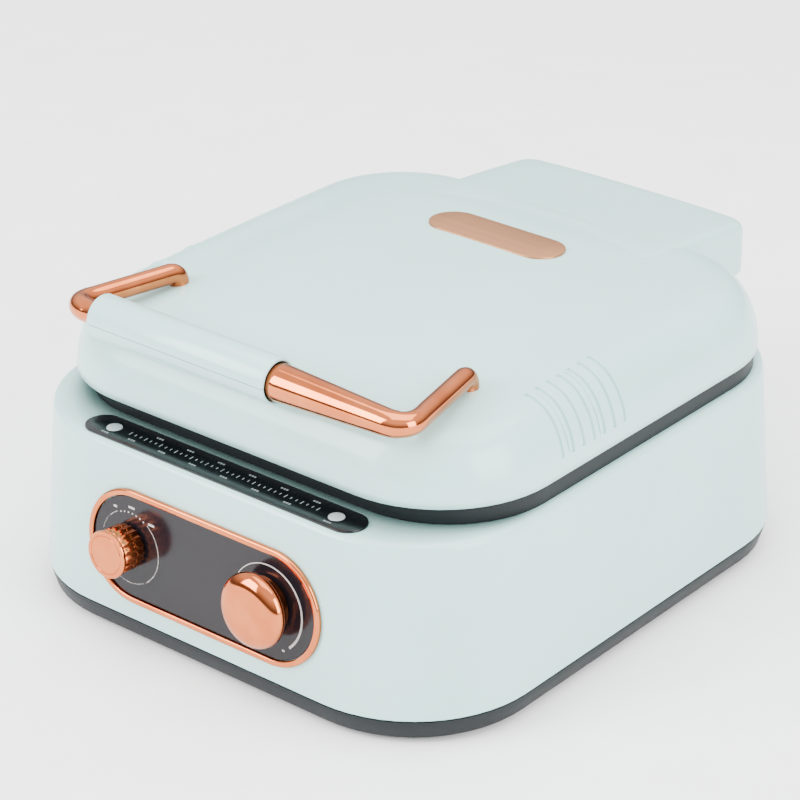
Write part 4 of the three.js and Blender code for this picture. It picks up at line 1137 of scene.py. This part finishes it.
def make_timer_knob():
    """A fluted knob with a flat cap that has one turned groove near its edge."""
    bm = bmesh.new()
    flutes, depth, radius, per_flute = 18, 0.7, 9.4, 8
    length = 10.7
    rows = [(0.6, 0), (0.15, 0.3), (0, 0.8), (0, length - 0.6), (0.4, length)]
    loops = []
    for inset, z in rows:
        edges = ring(bm, radius - inset, KNOB_LOW + z, flutes * per_flute)
        for vert in {vert for edge in edges for vert in edge.verts}:
            turn = math.atan2(vert.co.y, vert.co.x)
            share = 1 - depth / radius * (0.5 - 0.5 * math.cos(turn * flutes))
            vert.co.x *= share
            vert.co.y *= share
        loops.append(edges)
    loft(bm, loops)
    cap(bm, loops[0])
    cap(bm, loops[-1])
    place = panel_place(TIMER_X)
    make("copper_timer_knob", bm, "timer_dial",
         "copper_plated_plastic", ["timer_knob"], place=place)
    bm = bmesh.new()
    cap_radius, cap_height = 9.9, 1.6
    foot, side, crest, top = 0.3, 0.45, 0.15, 0.1
    groove_out, groove_in, groove_depth = 8.3, 7.7, 0.22
    low = KNOB_LOW + length + GAP
    high = low + cap_height
    profile = [(0, low), (cap_radius - foot, low), (cap_radius, low + foot),
               (cap_radius, high - side), (cap_radius - crest, high - top),
               (cap_radius - side, high), (groove_out, high),
               (groove_out - crest, high - groove_depth),
               (groove_in + crest, high - groove_depth), (groove_in, high), (0, high)]
    turned(bm, profile)
    make("copper_timer_cap", bm, "timer_dial",
         "copper_plated_plastic", ["timer_knob_cap"], place=place)


def make_temperature_knob():
    """A smooth dial: a narrow neck under a wide head that rounds over to a nearly flat top."""
    bm = bmesh.new()
    radius, length = 15.4, 12.2
    neck, neck_edge, neck_height = radius * 0.78, 0.4, 3.1
    low, high = KNOB_LOW, KNOB_LOW + length
    widest = low + 7
    steps, fullness = 22, 0.55
    profile = [(0, low), (neck - neck_edge, low), (neck, low + neck_edge),
               (neck, low + neck_height), (neck + 0.8, low + neck_height + 0.8),
               (radius * 0.95, low + 4.8), (radius * 0.99, low + 5.8)]
    for i in range(steps):
        turn = i / steps * math.pi / 2
        profile.append((radius * math.cos(turn) ** fullness,
                        widest + (high - widest) * math.sin(turn)))
    profile.append((0, high))
    turned(bm, profile, 96)
    make("copper_temperature_knob", bm, "temperature_dial",
         "copper_plated_plastic", ["temperature_knob"], place=panel_place(DIAL_X), smooth=30)


# ------------------------------------------------------------------ indicator strip
def make_strip_bar(place, lamp_x, lens_radius):
    """The black bar, with a round well for each lamp."""
    bm = bmesh.new()
    radius = 7.7
    half = STRIP_HIGH.x - radius
    low, high = STRIP_LOW.z, STRIP_HIGH.z
    sunk = 0.25
    rows = [(0, low - sunk), (0, high - 0.4), (0.12, high - 0.12), (0.4, high)]
    loops = [stadium(bm, half, radius - inset, z) for inset, z in rows]
    loft(bm, loops)
    cap(bm, loops[0])
    holes = []
    for side in (-1, 1):
        mouth = ring(bm, lens_radius + GAP, high, 40, (side * lamp_x, 0))
        foot = ring(bm, lens_radius + GAP, low, 40, (side * lamp_x, 0))
        loft(bm, [mouth, foot])
        cap(bm, foot)
        holes += mouth
    cap(bm, loops[-1] + holes)
    make("black_indicator_strip", bm, "base", "black_gloss", ["indicator_strip"], place=place)


def make_lens(name, place, lens_radius):
    """One lamp's window, slightly domed, with an eased edge."""
    bm = bmesh.new()
    top = box_mm(name + "_lamp_lens")[1].z
    height, shoulder, ease, dome = 3, 0.5, 0.4, 0.1
    profile = [(0, top - height), (lens_radius, top - height), (lens_radius, top - shoulder)]
    profile += arc((lens_radius - ease, top - shoulder), ease, 10, 80, 4)
    profile += [(lens_radius * 0.5, top + dome / 2), (0, top + dome)]
    turned(bm, profile, 48)
    make(name + "_lamp_window", bm, "base", "lamp_lens", [name + "_lamp_lens"], place=place)


def make_strip_marks(place, lamp_x):
    """A row of ticks, every third one longer, with plain three-block marks in two rows by it."""
    bm = bmesh.new()
    high = STRIP_HIGH.z
    ticks, tick_width, short, long = 37, 0.35, 1.3, 2.2
    groups, group_y, lamp_mark_y = 6, 3.9, 5.4
    reach = lamp_x - 9
    for i in range(ticks):
        x = -reach + 2 * reach * i / (ticks - 1)
        mark_dash(bm, x, 0, tick_width, short if i % 3 else long, high)
    for i in range(groups):
        x = -reach + 2 * reach * (i + 0.75) / groups
        mark_word(bm, x, group_y, high)
        mark_word(bm, x - reach / groups, -group_y, high)
    for side in (-1, 1):
        mark_word(bm, side * lamp_x, -lamp_mark_y, high)
    make("strip_scale", bm, "base", "lamp_lens", place=place, material=FAINT_INK)


def make_strip():
    middle_y = (STRIP_LOW.y + STRIP_HIGH.y) / 2
    lens_low, lens_high = box_mm("ready_lamp_lens")
    lamp_x = (lens_low.x + lens_high.x) / 2
    lens_radius = (lens_high.x - lens_low.x) / 2
    place = PLACE @ Matrix.Translation((0, middle_y, 0))
    make_strip_bar(place, lamp_x, lens_radius)
    for side, name in ((-1, "power"), (1, "ready")):
        make_lens(name, place @ Matrix.Translation((side * lamp_x, 0, 0)), lens_radius)
    make_strip_marks(place, lamp_x)


# ------------------------------------------------------------------ feet
def make_feet():
    """Four turned feet with an eased edge and a shallow hollow under each."""
    edge, hollow = 0.8, 0.25
    for corner in CORNERS:
        low, high = box_mm("foot_" + corner)
        middle = (low + high) / 2
        radius = (high.x - low.x) / 2
        top = high.z - low.z
        profile = [(0, hollow), (radius * 0.55, hollow), (radius * 0.6, 0), (radius - edge, 0)]
        profile += arc((radius - edge, edge), edge, -80, 0, 5)
        profile += [(radius, top), (0, top)]
        bm = bmesh.new()
        turned(bm, profile, 48)
        make("rubber_foot_" + corner, bm, "base", "rubber", ["foot_" + corner],
             place=PLACE @ Matrix.Translation((middle.x, middle.y, low.z)))


dress_cad_nodes()
make_camera()
make_studio()
make_housing()
make_tray()
make_deck()
make_plates()
make_lid()
make_hinge_block()
make_liner()
make_badge()
make_handle()
make_panel()
make_timer_marks()
make_temperature_marks()
make_timer_knob()
make_temperature_knob()
make_strip()
make_feet()
